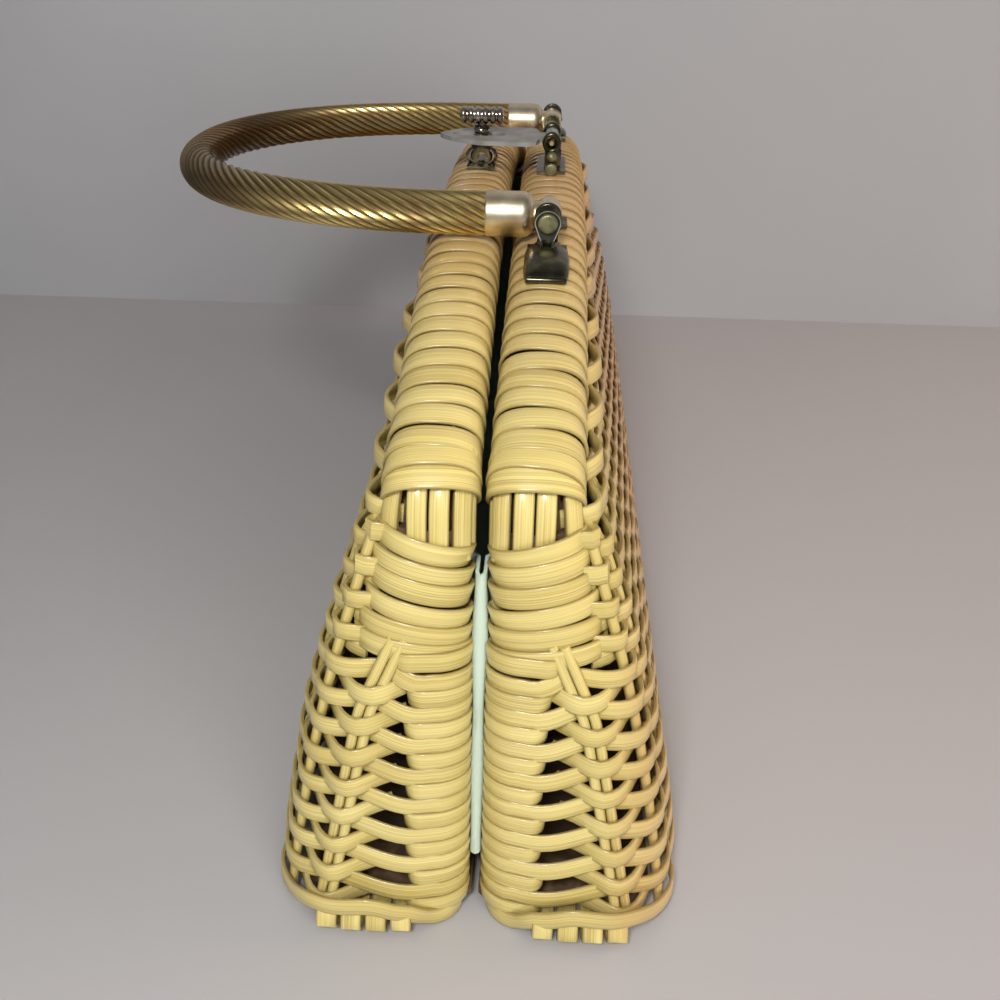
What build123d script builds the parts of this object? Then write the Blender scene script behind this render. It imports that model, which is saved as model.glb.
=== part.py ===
from build123d import *
from math import atan2, cos, degrees, hypot, pi, sin, tan
import os

# Basket box bag: two mirror-image half boxes of woven reed, hinged along the bottom,
# with an arched top rail on each, a swing handle on the front rail and a turn clasp.
# X runs along the bag, Y from front to back, Z up. The halves meet in the plane Y = 0.

# Overall form of one half
RAIL_LENGTH = 304.0  # top rail from corner to corner
END_HEIGHT = 99.0  # crest of the rail at its corners
ARCH_RISE = 22.4  # the rail's rise at the middle
END_FLARE = 18.7  # how far each end leans out, from the corner to the floor
BASE_DEPTH = 42.4  # outer face of the long side at the floor, from the middle plane
SHOULDER_DEPTH = 22.6  # the same at the shoulder, and above it
SHOULDER_HEIGHT = 90.0
RUNNING_GAP = 0.3  # between pieces that lie beside each other

# Top rail: a roll wrapped with flat reed
RAIL_WIDTH = 17.6
RAIL_THICKNESS = 14.0
RAIL_GAP_END = 0.6  # from the middle plane to the roll at the corners
RAIL_GAP_MIDDLE = 1.6
WRAP_PITCH = 10.6
WRAP_RELIEF = 0.8  # depth of the groove between two wraps
ROLL_SIDES = 8
ROLL_POWER = 2.7  # 2 is a plain oval, more is squarer

# Corner, neck and end post
CORNER_RADIUS = 14.0
CORNER_STRIPS = 4
CORNER_STEPS = 3
STRIP_WIDTH = 3.75
STRIP_SPACE = 0.25
STRIP_DEPTH = 9.0
STRIP_BEVEL = 0.4
STRIP_SET_BACK = 0.9  # the strips lie this far under the wraps
FACE_GAP = 1.7  # from the middle plane to necks, posts and cloth
NECK_WRAPS = 6
NECK_FOOT = 64.0
NECK_FOOT_WIDTH = 23.2
NECK_HEAD_WIDTH = 16.4
NECK_DEPTH = 10.0
POST_WIDTH = 11.6
POST_DEPTH = 8.0
POST_SIDES = 6
POST_POWER = 5.0

# Woven wall
COURSES = 17
COURSE_HEIGHT = 7.0
WALL_THICKNESS = 2.8
COURSE_RELIEF = 0.9
WALL_CORNER_RADIUS = 8.0
WALL_CORNER_STEPS = 2
WALL_TOP_DROP = 4.0  # top edge of the wall below the rail's crest
END_WINDOW = 3.5  # open band under the neck, where the stakes come out
SIDE_GAPS = 8  # gaps along one row of the long side
GAP_WIDTH = 11.0
GAP_HEIGHT = 3.2
END_GAP_WIDTH = 5.6

# Stakes
STAKE_RADIUS = 1.3
STAKE_SIDES = 4
END_STAKE_TOP = 22.0  # distance from the middle plane at the first row
END_STAKE_SLOPE = 0.12
END_STAKE_SPACE = 3.2
END_STAKE_INSET = 1.8  # further in, clear of the wall's corner

# Base
REED_THICKNESS = 1.3
BASE_THICKNESS = 3.4
BASE_GAP = 0.8
BASE_EDGE_BEVEL = 1.8
FLOOR_REEDS = 5
FLOOR_REED_WIDTH = 3.0
FLOOR_REED_PITCH = 4.2
FLOOR_REED_START = 12.5
FLOOR_REED_RISE = 9.0

# Cloth
CLOTH_THICKNESS = 0.8
LINING_END_ROOM = 15.6
LINING_SIDE_ROOM = 3.4
GUSSET_FOOT = 14.0
GUSSET_TOP = 78.0
GUSSET_WING = 13.0
GUSSET_SET_BACK = 3.0
GUSSET_FOLD_GAP = 0.5

# Bottom hinges
HINGE_HEIGHT = 4.0
HINGE_SPACING = 180.0
HINGE_LENGTH = 18.0
KNUCKLE_RADIUS = 1.9
HINGE_PIN_RADIUS = 0.8
HINGE_PIN_FIT = 0.05
LEAF_THICKNESS = 0.8
LEAF_REACH = 13.0
NOTCH_ROOM = 0.35

# Handle
HANDLE_SPACING = 124.0
HANDLE_REACH = 103.7
HANDLE_STRAIGHT = 20.7
HANDLE_POWER = 2.2
HANDLE_RADIUS = 5.35
HANDLE_FLUTES = 8
FLUTE_DEPTH = 0.9
HANDLE_SECTIONS = 28
HANDLE_TWIST = 3.2  # turns from foot to foot
FERRULE_RADIUS = 5.5
FERRULE_LENGTH = 15.5
FERRULE_SIDES = 12

# Handle brackets
PIN_RADIUS = 1.7
PIN_FIT = 0.05
PIN_HEAD_RADIUS = 2.3
PIN_HEAD_LENGTH = 1.2
EAR_THICKNESS = 1.2
EAR_HALF_WIDTH = 2.7
EAR_ROOM = 0.35
PLATE_THICKNESS = 0.9
PLATE_WIDTH = 9.6
PLATE_LIFT = 0.06
TONGUE_LENGTH = 14.0
TONGUE_HEIGHT = 2.3
TONGUE_FOOT = 2.4
INNER_FOOT = 5.0

# Clasp
STUD_PLATE_LENGTH = 14.0
STUD_PLATE_WIDTH = 8.2
STUD_LOOP_RADIUS = 2.9
STUD_LOOP_BORE = 1.3
STUD_LOOP_LENGTH = 7.0
STUD_POST_RADIUS = 2.3
STUD_COLLAR_RADIUS = 3.3
SPIGOT_RADIUS = 1.2
SPIGOT_LENGTH = 4.0
BARREL_LENGTH = 13.2
BARREL_RADIUS = 2.45
BARREL_RIBS = 6
BARREL_SIDES = 8
BARREL_HEIGHT = 14.3  # barrel's axis over the rail's crest
BARREL_ROOM = 0.25
HASP_PIN_HEIGHT = 8.4  # hasp's pin over the rail's crest, level with its plate
HASP_THICKNESS = 1.2
HASP_WIDTH = 22.0
HASP_REACH = 33.2
HASP_SHOULDER = 24.0
HASP_TAIL_WIDTH = 9.0
HASP_NECK = 3.6  # where the leaf widens, from its pin
HASP_EYE_RADIUS = 2.1
HASP_PIN_RADIUS = 1.2
HASP_BALL_RADIUS = 1.6
SLOT_START = 13.9
SLOT_END = 29.4
SLOT_WIDTH = 5.9
HASP_PLATE_LENGTH = 20.0
HASP_PLATE_WIDTH = 8.4
NAIL_RADIUS = 1.1
NAIL_HEIGHT = 0.8
BUTTON_TAPER = 28.0

RAIL_LAST = RAIL_LENGTH / 2


def rail_top(x):
    """Height of the rail's crest."""
    return END_HEIGHT + ARCH_RISE * (1 - (x / RAIL_LAST) ** 2)


def rail_slope(x):
    """Angle of the rail's crest from level."""
    return atan2(-2 * ARCH_RISE * x / RAIL_LAST**2, 1)


def rail_middle(x):
    """Distance of the rail's middle line from the plane between the halves."""
    bow = (RAIL_GAP_MIDDLE - RAIL_GAP_END) * (1 - (x / RAIL_LAST) ** 2)
    return RAIL_GAP_END + bow + RAIL_WIDTH / 2


def end_reach(z):
    """Outer face of an end, from the bag's middle."""
    return RAIL_LAST + END_FLARE * (1 - z / END_HEIGHT)


def side_reach(z):
    """Outer face of a long side, from the plane between the halves."""
    share = min(z / SHOULDER_HEIGHT, 1)
    return BASE_DEPTH + (SHOULDER_DEPTH - BASE_DEPTH) * share


FLARE_ANGLE = atan2(END_FLARE, END_HEIGHT)
WEAVE_FOOT = REED_THICKNESS + 0.1
BASE_TOP = WEAVE_FOOT + BASE_THICKNESS
POST_EDGE = FACE_GAP + POST_WIDTH
CREST = rail_top(0)
CLASP_Y = rail_middle(0)
PIN_X = HANDLE_SPACING / 2
PIN_Y = rail_middle(PIN_X)
PIN_Z = rail_top(PIN_X) + FERRULE_RADIUS + RUNNING_GAP
EAR_OUTER = PIN_X + FERRULE_RADIUS + EAR_ROOM
EAR_INNER = PIN_X - FERRULE_RADIUS - EAR_ROOM - EAR_THICKNESS


def squared_oval(half_width, half_height, sides, power):
    """Corners of a squarish oval that fills its box, the top side level."""
    corners = []
    for step in range(sides):
        turn = 2 * pi * (step + 0.5) / sides
        across = abs(cos(turn)) ** (2 / power) * (1 if cos(turn) > 0 else -1)
        upward = abs(sin(turn)) ** (2 / power) * (1 if sin(turn) > 0 else -1)
        corners.append((across, upward))
    widest = max(across for across, _ in corners)
    tallest = max(upward for _, upward in corners)
    return [(a * half_width / widest, u * half_height / tallest) for a, u in corners]


def panelled(rings):
    """Solid of flat four-sided panels through level rings whose sides stay parallel."""
    faces = []
    count = len(rings[0])
    for low, high in zip(rings, rings[1:]):
        for n in range(count):
            after = (n + 1) % count
            corners = [low[n], low[after], high[after], high[n]]
            faces.append(Face(Wire.make_polygon([Vector(*p) for p in corners], close=True)))
    for ring in (rings[0], rings[-1]):
        faces.append(Face(Wire.make_polygon([Vector(*p) for p in ring], close=True)))
    return Solid(Shell(faces))


def turned_over(shape):
    """The same piece of the other half."""
    return mirror(shape, about=Plane.XZ)


def both_ends(shape):
    """A piece of the near end with its twin at the far end."""
    return [shape, mirror(shape, about=Plane.YZ)]


def roll_ring(x, shrink):
    """Section of the top rail's roll, square to its crest."""
    tilt = rail_slope(x)
    half_height = RAIL_THICKNESS / 2
    section = squared_oval(
        RAIL_WIDTH / 2 - shrink, half_height - shrink, ROLL_SIDES, ROLL_POWER
    )
    return [
        (
            x - (u - half_height) * sin(tilt),
            rail_middle(x) + a,
            rail_top(x) + (u - half_height) * cos(tilt),
        )
        for a, u in section
    ]


def corner_arc():
    """Where the rail's line turns down into the neck: turn angle and tangent length."""
    slope = rail_slope(RAIL_LAST)
    turn = pi / 2 + slope - FLARE_ANGLE
    return turn, CORNER_RADIUS * tan(turn / 2)


def make_top_binding():
    """Arched roll with a groove after each wrap of flat reed."""
    _, tangent = corner_arc()
    last = RAIL_LAST - tangent * cos(rail_slope(RAIL_LAST)) - RUNNING_GAP
    wraps = round(2 * last / WRAP_PITCH)
    pitch = 2 * last / wraps
    rings = [roll_ring(-last, WRAP_RELIEF)]
    for wrap in range(wraps):
        start = -last + wrap * pitch
        rings.append(roll_ring(start + pitch * 0.55, 0))
        rings.append(roll_ring(start + pitch, WRAP_RELIEF))
    return faceted(rings)


def make_corner_strips():
    """Flat reeds side by side that bend from the rail down to the neck, one end."""
    turn, tangent = corner_arc()
    slope = rail_slope(RAIL_LAST)
    corner_x = RAIL_LAST
    corner_z = END_HEIGHT - STRIP_SET_BACK
    start_x = corner_x - tangent * cos(slope)
    start_z = corner_z - tangent * sin(slope)
    centre_x = start_x + CORNER_RADIUS * sin(slope)
    centre_z = start_z - CORNER_RADIUS * cos(slope)
    pitch = STRIP_WIDTH + STRIP_SPACE
    first = rail_middle(RAIL_LAST) - pitch * (CORNER_STRIPS - 1) / 2
    corners = ((-1, STRIP_DEPTH, 0), (1, STRIP_DEPTH, 0), (1, 0, STRIP_BEVEL), (-1, 0, STRIP_BEVEL))
    strips = []
    for number in range(CORNER_STRIPS):
        y = first + number * pitch
        rings = []
        for step in range(CORNER_STEPS + 1):
            angle = slope - turn * step / CORNER_STEPS
            ring = []
            for side, depth, inset in corners:
                out = CORNER_RADIUS - depth
                across = y + side * (STRIP_WIDTH / 2 - inset)
                ring.append((centre_x - out * sin(angle), across, centre_z + out * cos(angle)))
            rings.append(ring)
        strips.append(panelled(rings))
    return strips


def leaning_ring(z, inner_y, outer_y, depth, shrink):
    """Section of a neck or post, square to the leaning end face, at the far end."""
    middle = (inner_y + outer_y) / 2
    section = squared_oval(
        (outer_y - inner_y) / 2 - shrink, depth / 2 - shrink, POST_SIDES, POST_POWER
    )
    across = end_reach(z)
    return [
        (
            across + (u - depth / 2) * cos(FLARE_ANGLE),
            middle + a,
            z + (u - depth / 2) * sin(FLARE_ANGLE),
        )
        for a, u in section
    ]


def make_neck_binding():
    """Close wraps on the end face under the corner, wider towards the foot."""
    _, tangent = corner_arc()
    head = END_HEIGHT - STRIP_SET_BACK - tangent * cos(FLARE_ANGLE) - RUNNING_GAP
    pitch = (head - NECK_FOOT) / NECK_WRAPS
    rings = []
    for step in range(2 * NECK_WRAPS + 1):
        z = head - pitch * step / 2
        share = (head - z) / (head - NECK_FOOT)
        width = NECK_HEAD_WIDTH + (NECK_FOOT_WIDTH - NECK_HEAD_WIDTH) * share
        shrink = 0 if step % 2 else WRAP_RELIEF
        outer = FACE_GAP + width
        rings.append(leaning_ring(z, FACE_GAP, outer, NECK_DEPTH, shrink))
    return faceted(rings)


def make_end_post():
    """Wrapped upright of the rim beside the gap."""
    foot = BASE_TOP + RUNNING_GAP + POST_DEPTH * sin(FLARE_ANGLE)
    head = NECK_FOOT - NECK_DEPTH * sin(FLARE_ANGLE) - RUNNING_GAP
    wraps = round((head - foot) / COURSE_HEIGHT)
    pitch = (head - foot) / wraps
    rings = []
    for step in range(2 * wraps + 1):
        z = foot + pitch * step / 2
        shrink = 0 if step % 2 else WRAP_RELIEF
        rings.append(leaning_ring(z, FACE_GAP, POST_EDGE, POST_DEPTH, shrink))
    return faceted(rings)


def wall_path(x_reach, y_reach, radius, start_y):
    """Plan of a wall's face: near end, corner, long side, corner, far end."""
    quarter = [
        (
            x_reach - radius * (1 - cos(pi / 2 * step / WALL_CORNER_STEPS)),
            y_reach - radius * (1 - sin(pi / 2 * step / WALL_CORNER_STEPS)),
        )
        for step in range(WALL_CORNER_STEPS + 1)
    ]
    far_half = [(x_reach, start_y)] + quarter
    return [(-x, y) for x, y in far_half] + far_half[::-1]


def wall_ring(z, inset, start_y):
    """Level outline of a wall's face, closed across the gap between the halves."""
    start_y = min(start_y, side_reach(z) - WALL_CORNER_RADIUS - 2 * COURSE_RELIEF)
    radius = WALL_CORNER_RADIUS - max(inset - COURSE_RELIEF, 0)
    plan = wall_path(end_reach(z) - inset, side_reach(z) - inset, radius, start_y)
    return [(x, y, z) for x, y in plan]


def arch_cutter(drop):
    """Everything above a line that follows the rail's crest at a given drop."""
    steps = 12
    far = RAIL_LAST + 2 * END_FLARE
    line = []
    for step in range(steps + 1):
        x = RAIL_LAST * (2 * step / steps - 1)
        line.append((x, rail_top(x) - drop))
    line = [(-far, line[0][1])] + line + [(far, line[-1][1])]
    high = CREST + COURSE_HEIGHT * 2
    outline = line + [(far, high), (-far, high)]
    points = [Vector(x, 0, z) for x, z in outline]
    face = Face(Wire.make_polygon(points, close=True))
    return Solid.extrude(face, Vector(0, 2 * BASE_DEPTH, 0))


def neck_room():
    """The space that a neck takes, with clearance, from the middle plane outwards."""
    slope = (NECK_FOOT_WIDTH - NECK_HEAD_WIDTH) / (SHOULDER_HEIGHT - NECK_FOOT)
    low = NECK_FOOT - END_WINDOW
    stages = (
        (low, NECK_FOOT_WIDTH + slope * END_WINDOW),
        (SHOULDER_HEIGHT, NECK_HEAD_WIDTH),
        (END_HEIGHT + CORNER_RADIUS, NECK_HEAD_WIDTH),
    )
    rings = []
    for z, width in stages:
        outer = FACE_GAP + width + 2 * RUNNING_GAP
        inner_x = end_reach(z) - NECK_DEPTH - 2
        outer_x = end_reach(z) + 2
        rings.append(
            [(inner_x, 0, z), (outer_x, 0, z), (outer_x, outer, z), (inner_x, outer, z)]
        )
    return panelled(rings)


def side_gap_columns():
    """Where the gaps of one row lie along the long side."""
    reach = RAIL_LAST - WALL_CORNER_RADIUS
    pitch = 2 * reach / SIDE_GAPS
    return pitch, [-reach + pitch * (0.5 + n) for n in range(SIDE_GAPS)]


def make_gap_cutters():
    """Staggered gaps between the courses, through the long side and the ends."""
    cutters = []
    deep = 4 * WALL_THICKNESS
    pitch, columns = side_gap_columns()
    for course in range(1, COURSES - 1):
        z = WEAVE_FOOT + course * COURSE_HEIGHT
        for number, x in enumerate(columns):
            if (number + course) % 2:
                continue
            if z > rail_top(x) - WALL_TOP_DROP - COURSE_HEIGHT * 0.6:
                continue
            gap = Pos(x, side_reach(z), z) * Box(GAP_WIDTH, deep, GAP_HEIGHT)
            cutters.append(gap)
    course = 1
    while WEAVE_FOOT + course * COURSE_HEIGHT < NECK_FOOT - END_WINDOW - GAP_HEIGHT:
        z = WEAVE_FOOT + course * COURSE_HEIGHT
        y = POST_EDGE + RUNNING_GAP + END_GAP_WIDTH / 2 + 1
        for side in (-1, 1):
            gap = Pos(side * end_reach(z), y, z) * Box(deep, END_GAP_WIDTH, GAP_HEIGHT)
            cutters.append(gap)
        course += 1
    return cutters


def make_weave():
    """Woven wall of one half: a ridge for each course and gaps between the stakes."""
    start_y = POST_EDGE + RUNNING_GAP
    top = WEAVE_FOOT + COURSES * COURSE_HEIGHT
    rings = []
    for step in range(2 * COURSES + 1):
        z = WEAVE_FOOT + COURSE_HEIGHT * step / 2
        rings.append(wall_ring(z, 0 if step % 2 else COURSE_RELIEF, start_y))
    levels = (WEAVE_FOOT - 1, SHOULDER_HEIGHT, top + 1)
    inside = panelled([wall_ring(z, WALL_THICKNESS, 0) for z in levels])
    wall = panelled(rings) - inside
    wall = wall - arch_cutter(WALL_TOP_DROP)
    for room in both_ends(neck_room()):
        wall = wall - room
    return wall - make_gap_cutters()


def stake_rod(foot, head):
    """Straight four-sided reed between two points."""
    start, end = Vector(*foot), Vector(*head)
    plane = Plane(origin=start, z_dir=end - start)
    section = plane * RegularPolygon(STAKE_RADIUS, STAKE_SIDES)
    return extrude(section, amount=(end - start).length)


def make_stakes():
    """Upright reeds behind the weavers, single on the long side, paired at the ends."""
    inset = WALL_THICKNESS + RUNNING_GAP + STAKE_RADIUS
    foot = BASE_TOP + RUNNING_GAP + STAKE_RADIUS * 0.5
    pitch, columns = side_gap_columns()
    rods = []
    places = [columns[0] - pitch / 2] + [x + pitch / 2 for x in columns]
    for x in places[1:-1]:
        head = min(rail_top(x) - RAIL_THICKNESS - 2.5, SHOULDER_HEIGHT - 1)
        rods.append(
            stake_rod((x, side_reach(foot) - inset, foot), (x, side_reach(head) - inset, head))
        )
    end_inset = inset + END_STAKE_INSET
    first = NECK_FOOT - RUNNING_GAP - 3
    row = NECK_FOOT - END_WINDOW - COURSE_HEIGHT
    for side in (-1, 1):
        for half in (-0.5, 0.5):
            offset = half * END_STAKE_SPACE
            low = END_STAKE_TOP + END_STAKE_SLOPE * (row - foot) + offset
            high = END_STAKE_TOP + END_STAKE_SLOPE * (row - first) * 1.6 + offset
            rods.append(
                stake_rod(
                    (side * (end_reach(foot) - end_inset), low, foot),
                    (side * (end_reach(first) - end_inset), high, first),
                )
            )
    return rods


def hinge_places():
    return [-HINGE_SPACING / 2, HINGE_SPACING / 2]


def make_base():
    """Flat bottom of one half, round at its inner edge, notched for the hinges."""
    reach_x = end_reach(BASE_TOP) - WALL_THICKNESS - RUNNING_GAP
    reach_y = side_reach(BASE_TOP) - WALL_THICKNESS - RUNNING_GAP
    radius = WALL_CORNER_RADIUS - WALL_THICKNESS
    plan = wall_path(reach_x, reach_y, radius, BASE_GAP)
    points = [Vector(x, y, WEAVE_FOOT) for x, y in plan]
    face = Face(Wire.make_polygon(points, close=True))
    base = Solid.extrude(face, Vector(0, 0, BASE_THICKNESS))
    inner = base.edges().filter_by(Axis.X).sort_by(Axis.Y)[:2].sort_by(Axis.Z)[0]
    base = chamfer(inner, BASE_EDGE_BEVEL)
    reach = KNUCKLE_RADIUS + NOTCH_ROOM
    for x in hinge_places():
        length = HINGE_LENGTH + 2 * NOTCH_ROOM
        base = base - Pos(x, 0, HINGE_HEIGHT) * Box(length, 2 * reach, 4 * BASE_THICKNESS)
    return base


def make_floor_reeds():
    """Flat reeds that run under the base and turn up over the weave at both ends."""
    reeds = []
    low_x = end_reach(0) + RUNNING_GAP
    high_x = end_reach(FLOOR_REED_RISE) + RUNNING_GAP
    thick = REED_THICKNESS
    outline = [
        (-high_x - thick, FLOOR_REED_RISE),
        (-low_x - thick, thick),
        (-low_x, 0),
        (low_x, 0),
        (low_x + thick, thick),
        (high_x + thick, FLOOR_REED_RISE),
        (high_x, FLOOR_REED_RISE),
        (low_x, thick),
        (-low_x, thick),
        (-high_x, FLOOR_REED_RISE),
    ]
    for number in range(FLOOR_REEDS):
        y = FLOOR_REED_START + number * FLOOR_REED_PITCH
        points = [Vector(x, y, z) for x, z in outline]
        face = Face(Wire.make_polygon(points, close=True))
        reeds.append(Solid.extrude(face, Vector(0, FLOOR_REED_WIDTH, 0)))
    return reeds


def cloth_ring(z, inward):
    """Level section of the cloth tray, its end walls and long wall."""
    side_room = WALL_THICKNESS + LINING_SIDE_ROOM + inward
    x_reach = end_reach(z) - LINING_END_ROOM - inward
    return wall_path(x_reach, side_reach(z) - side_room, 4.0, FACE_GAP)


def make_lining():
    """Cloth inside one half: a floor, a long wall and two end walls."""
    foot = BASE_TOP + LEAF_THICKNESS + 2 * RUNNING_GAP
    levels = (foot, SHOULDER_HEIGHT, CREST)
    outside = panelled([[(x, y, z) for x, y in cloth_ring(z, 0)] for z in levels])
    hollow_levels = (foot + CLOTH_THICKNESS, SHOULDER_HEIGHT, CREST)
    rings = []
    for z in hollow_levels:
        plan = cloth_ring(z, CLOTH_THICKNESS)
        plan[0] = (plan[0][0], 0)
        plan[-1] = (plan[-1][0], 0)
        rings.append([(x, y, z) for x, y in plan])
    cloth = outside - panelled(rings)
    cloth = cloth - arch_cutter(RAIL_THICKNESS + 1.2)
    return cloth


def make_gusset():
    """Folded cloth across the gap at the far end: two wings and a pleat."""
    half = GUSSET_FOLD_GAP / 2
    leaf = half + 0.6
    levels = []
    for z in (GUSSET_FOOT, GUSSET_TOP):
        tip = end_reach(z) - GUSSET_SET_BACK
        root = end_reach(z) - POST_DEPTH - 3.2
        wing = root - CLOTH_THICKNESS
        levels.append(
            [
                (tip, -leaf, z),
                (tip, leaf, z),
                (root, leaf, z),
                (root, GUSSET_WING, z),
                (wing, GUSSET_WING, z),
                (wing, half, z),
                (tip - CLOTH_THICKNESS, half, z),
                (tip - CLOTH_THICKNESS, -half, z),
                (wing, -half, z),
                (wing, -GUSSET_WING, z),
                (root, -GUSSET_WING, z),
                (root, -leaf, z),
            ]
        )
    return panelled(levels)


def make_hinge_leaves(side):
    """One half's leaves: plates on the base, each with a knuckle on the shared pin."""
    length = HINGE_LENGTH / 2 - RUNNING_GAP / 2
    low = BASE_TOP + RUNNING_GAP
    start = KNUCKLE_RADIUS + NOTCH_ROOM
    leaves = []
    for x in hinge_places():
        at = x + side * (length + RUNNING_GAP) / 2
        plate = Pos(x, (start + LEAF_REACH) / 2, low + LEAF_THICKNESS / 2) * Box(
            HINGE_LENGTH, LEAF_REACH - start, LEAF_THICKNESS
        )
        outline = Plane.YZ * (
            RegularPolygon(KNUCKLE_RADIUS, 8)
            + Polygon(
                (KNUCKLE_RADIUS * 0.7, 0),
                (KNUCKLE_RADIUS * 0.9, low - HINGE_HEIGHT),
                (start + 1, low - HINGE_HEIGHT),
                (start + 1, low + LEAF_THICKNESS - HINGE_HEIGHT),
                (0, low + LEAF_THICKNESS - HINGE_HEIGHT),
                (0, KNUCKLE_RADIUS * 0.6),
                align=None,
            )
            - Circle(HINGE_PIN_RADIUS + HINGE_PIN_FIT)
        )
        arm = Pos(at - length / 2, 0, HINGE_HEIGHT) * extrude(outline, length)
        leaves.append(plate + arm)
    return leaves


def make_hinge_pins():
    return [
        Pos(x, 0, HINGE_HEIGHT) * Rot(0, 90, 0) * Cylinder(HINGE_PIN_RADIUS, HINGE_LENGTH)
        for x in hinge_places()
    ]


def handle_point(share):
    """Middle line of the handle, 0 at one foot and 1 at the other: x and reach."""
    straight = HANDLE_STRAIGHT - FERRULE_LENGTH
    half_arc = hypot(PIN_X, HANDLE_REACH - HANDLE_STRAIGHT) * 1.12
    total = 2 * (straight + half_arc)
    run = share * total
    if run < straight:
        return -PIN_X, FERRULE_LENGTH + run
    if run > total - straight:
        return PIN_X, FERRULE_LENGTH + total - run
    turn = pi * (run - straight) / (2 * half_arc)
    power = 2 / HANDLE_POWER
    across = abs(cos(turn)) ** power * (1 if cos(turn) > 0 else -1)
    outward = sin(turn) ** power
    return -PIN_X * across, HANDLE_STRAIGHT + (HANDLE_REACH - HANDLE_STRAIGHT) * outward


def handle_line():
    """Evenly spaced points on the handle's middle line."""
    fine = [handle_point(n / 400) for n in range(401)]
    lengths = [0.0]
    for a, b in zip(fine, fine[1:]):
        lengths.append(lengths[-1] + hypot(b[0] - a[0], b[1] - a[1]))
    points = []
    for n in range(HANDLE_SECTIONS + 1):
        want = lengths[-1] * n / HANDLE_SECTIONS
        at = next(i for i in range(1, 401) if lengths[i] >= want - 1e-9)
        part = (want - lengths[at - 1]) / (lengths[at] - lengths[at - 1])
        a, b = fine[at - 1], fine[at]
        points.append((a[0] + (b[0] - a[0]) * part, a[1] + (b[1] - a[1]) * part))
    return points


def faceted(rings):
    """Solid of flat triangles through rings of points, for a twisted form."""
    faces = []
    count = len(rings[0])
    for low, high in zip(rings, rings[1:]):
        for n in range(count):
            a, b = Vector(*low[n]), Vector(*low[(n + 1) % count])
            c, d = Vector(*high[(n + 1) % count]), Vector(*high[n])
            faces.append(Face(Wire.make_polygon([a, b, d], close=True)))
            faces.append(Face(Wire.make_polygon([b, c, d], close=True)))
    for ring in (rings[0], rings[-1]):
        faces.append(Face(Wire.make_polygon([Vector(*p) for p in ring], close=True)))
    return Solid(Shell(faces))


def make_handle_tube():
    """U-shaped tube fluted like a rope, lying level over the back rail."""
    line = handle_line()
    rings = []
    for number, (x, reach) in enumerate(line):
        before = line[max(number - 1, 0)]
        after = line[min(number + 1, len(line) - 1)]
        along = hypot(after[0] - before[0], after[1] - before[1])
        normal = ((after[1] - before[1]) / along, -(after[0] - before[0]) / along)
        if number in (0, HANDLE_SECTIONS):
            normal = (1.0 if number == 0 else -1.0, 0.0)
        spin = 2 * pi * HANDLE_TWIST * number / HANDLE_SECTIONS
        ring = []
        for corner in range(2 * HANDLE_FLUTES):
            radius = HANDLE_RADIUS - (FLUTE_DEPTH if corner % 2 else 0)
            angle = pi * corner / HANDLE_FLUTES + spin
            side = radius * cos(angle)
            y = -PIN_Y + reach + normal[1] * side
            ring.append((x + normal[0] * side, y, PIN_Z + radius * sin(angle)))
        rings.append(ring)
    return faceted(rings)


def make_ferrules():
    """Smooth sleeves at the handle's feet, round at the pivot, bored for the pins."""
    ferrules = []
    for side in (-1, 1):
        centre = Pos(side * PIN_X, -PIN_Y, PIN_Z)
        whole_length = FERRULE_LENGTH + FERRULE_RADIUS
        tube = centre * Pos(0, -FERRULE_RADIUS, 0) * Rot(-90, 0, 0) * extrude(
            RegularPolygon(FERRULE_RADIUS, FERRULE_SIDES), whole_length
        )
        profile = Circle(FERRULE_RADIUS) + Pos(whole_length / 2, 0) * Rectangle(
            whole_length, 2 * FERRULE_RADIUS
        )
        side_on = Plane(
            origin=(side * PIN_X - FERRULE_RADIUS, -PIN_Y, PIN_Z),
            x_dir=(0, 1, 0),
            z_dir=(1, 0, 0),
        )
        outline = extrude(side_on * profile, 2 * FERRULE_RADIUS)
        bore = centre * Rot(0, 90, 0) * Cylinder(PIN_RADIUS + PIN_FIT, 4 * FERRULE_RADIUS)
        ferrules.append((tube & outline) - bore)
    return ferrules


def ear_outline(half_width, drop, bore):
    """Tapered ear with a blunt head and a bore for its pin."""
    head = half_width * 0.5
    right = [
        (half_width * 0.9, -drop),
        (half_width, 0),
        (half_width * 0.8, half_width * 0.75),
        (head * 0.5, half_width * 1.1),
    ]
    left = [(-a, u) for a, u in reversed(right)]
    bore_sides = RegularPolygon(bore, 12, major_radius=False)
    return Polygon(*right, *left, align=None) - bore_sides


def seated(start, end):
    """A place on the rail's crest between two distances, tilted with it."""
    middle = (start + end) / 2
    tilt = degrees(rail_slope(middle))
    return Pos(middle, -PIN_Y, rail_top(middle) + PLATE_LIFT) * Rot(0, -tilt, 0)


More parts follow.
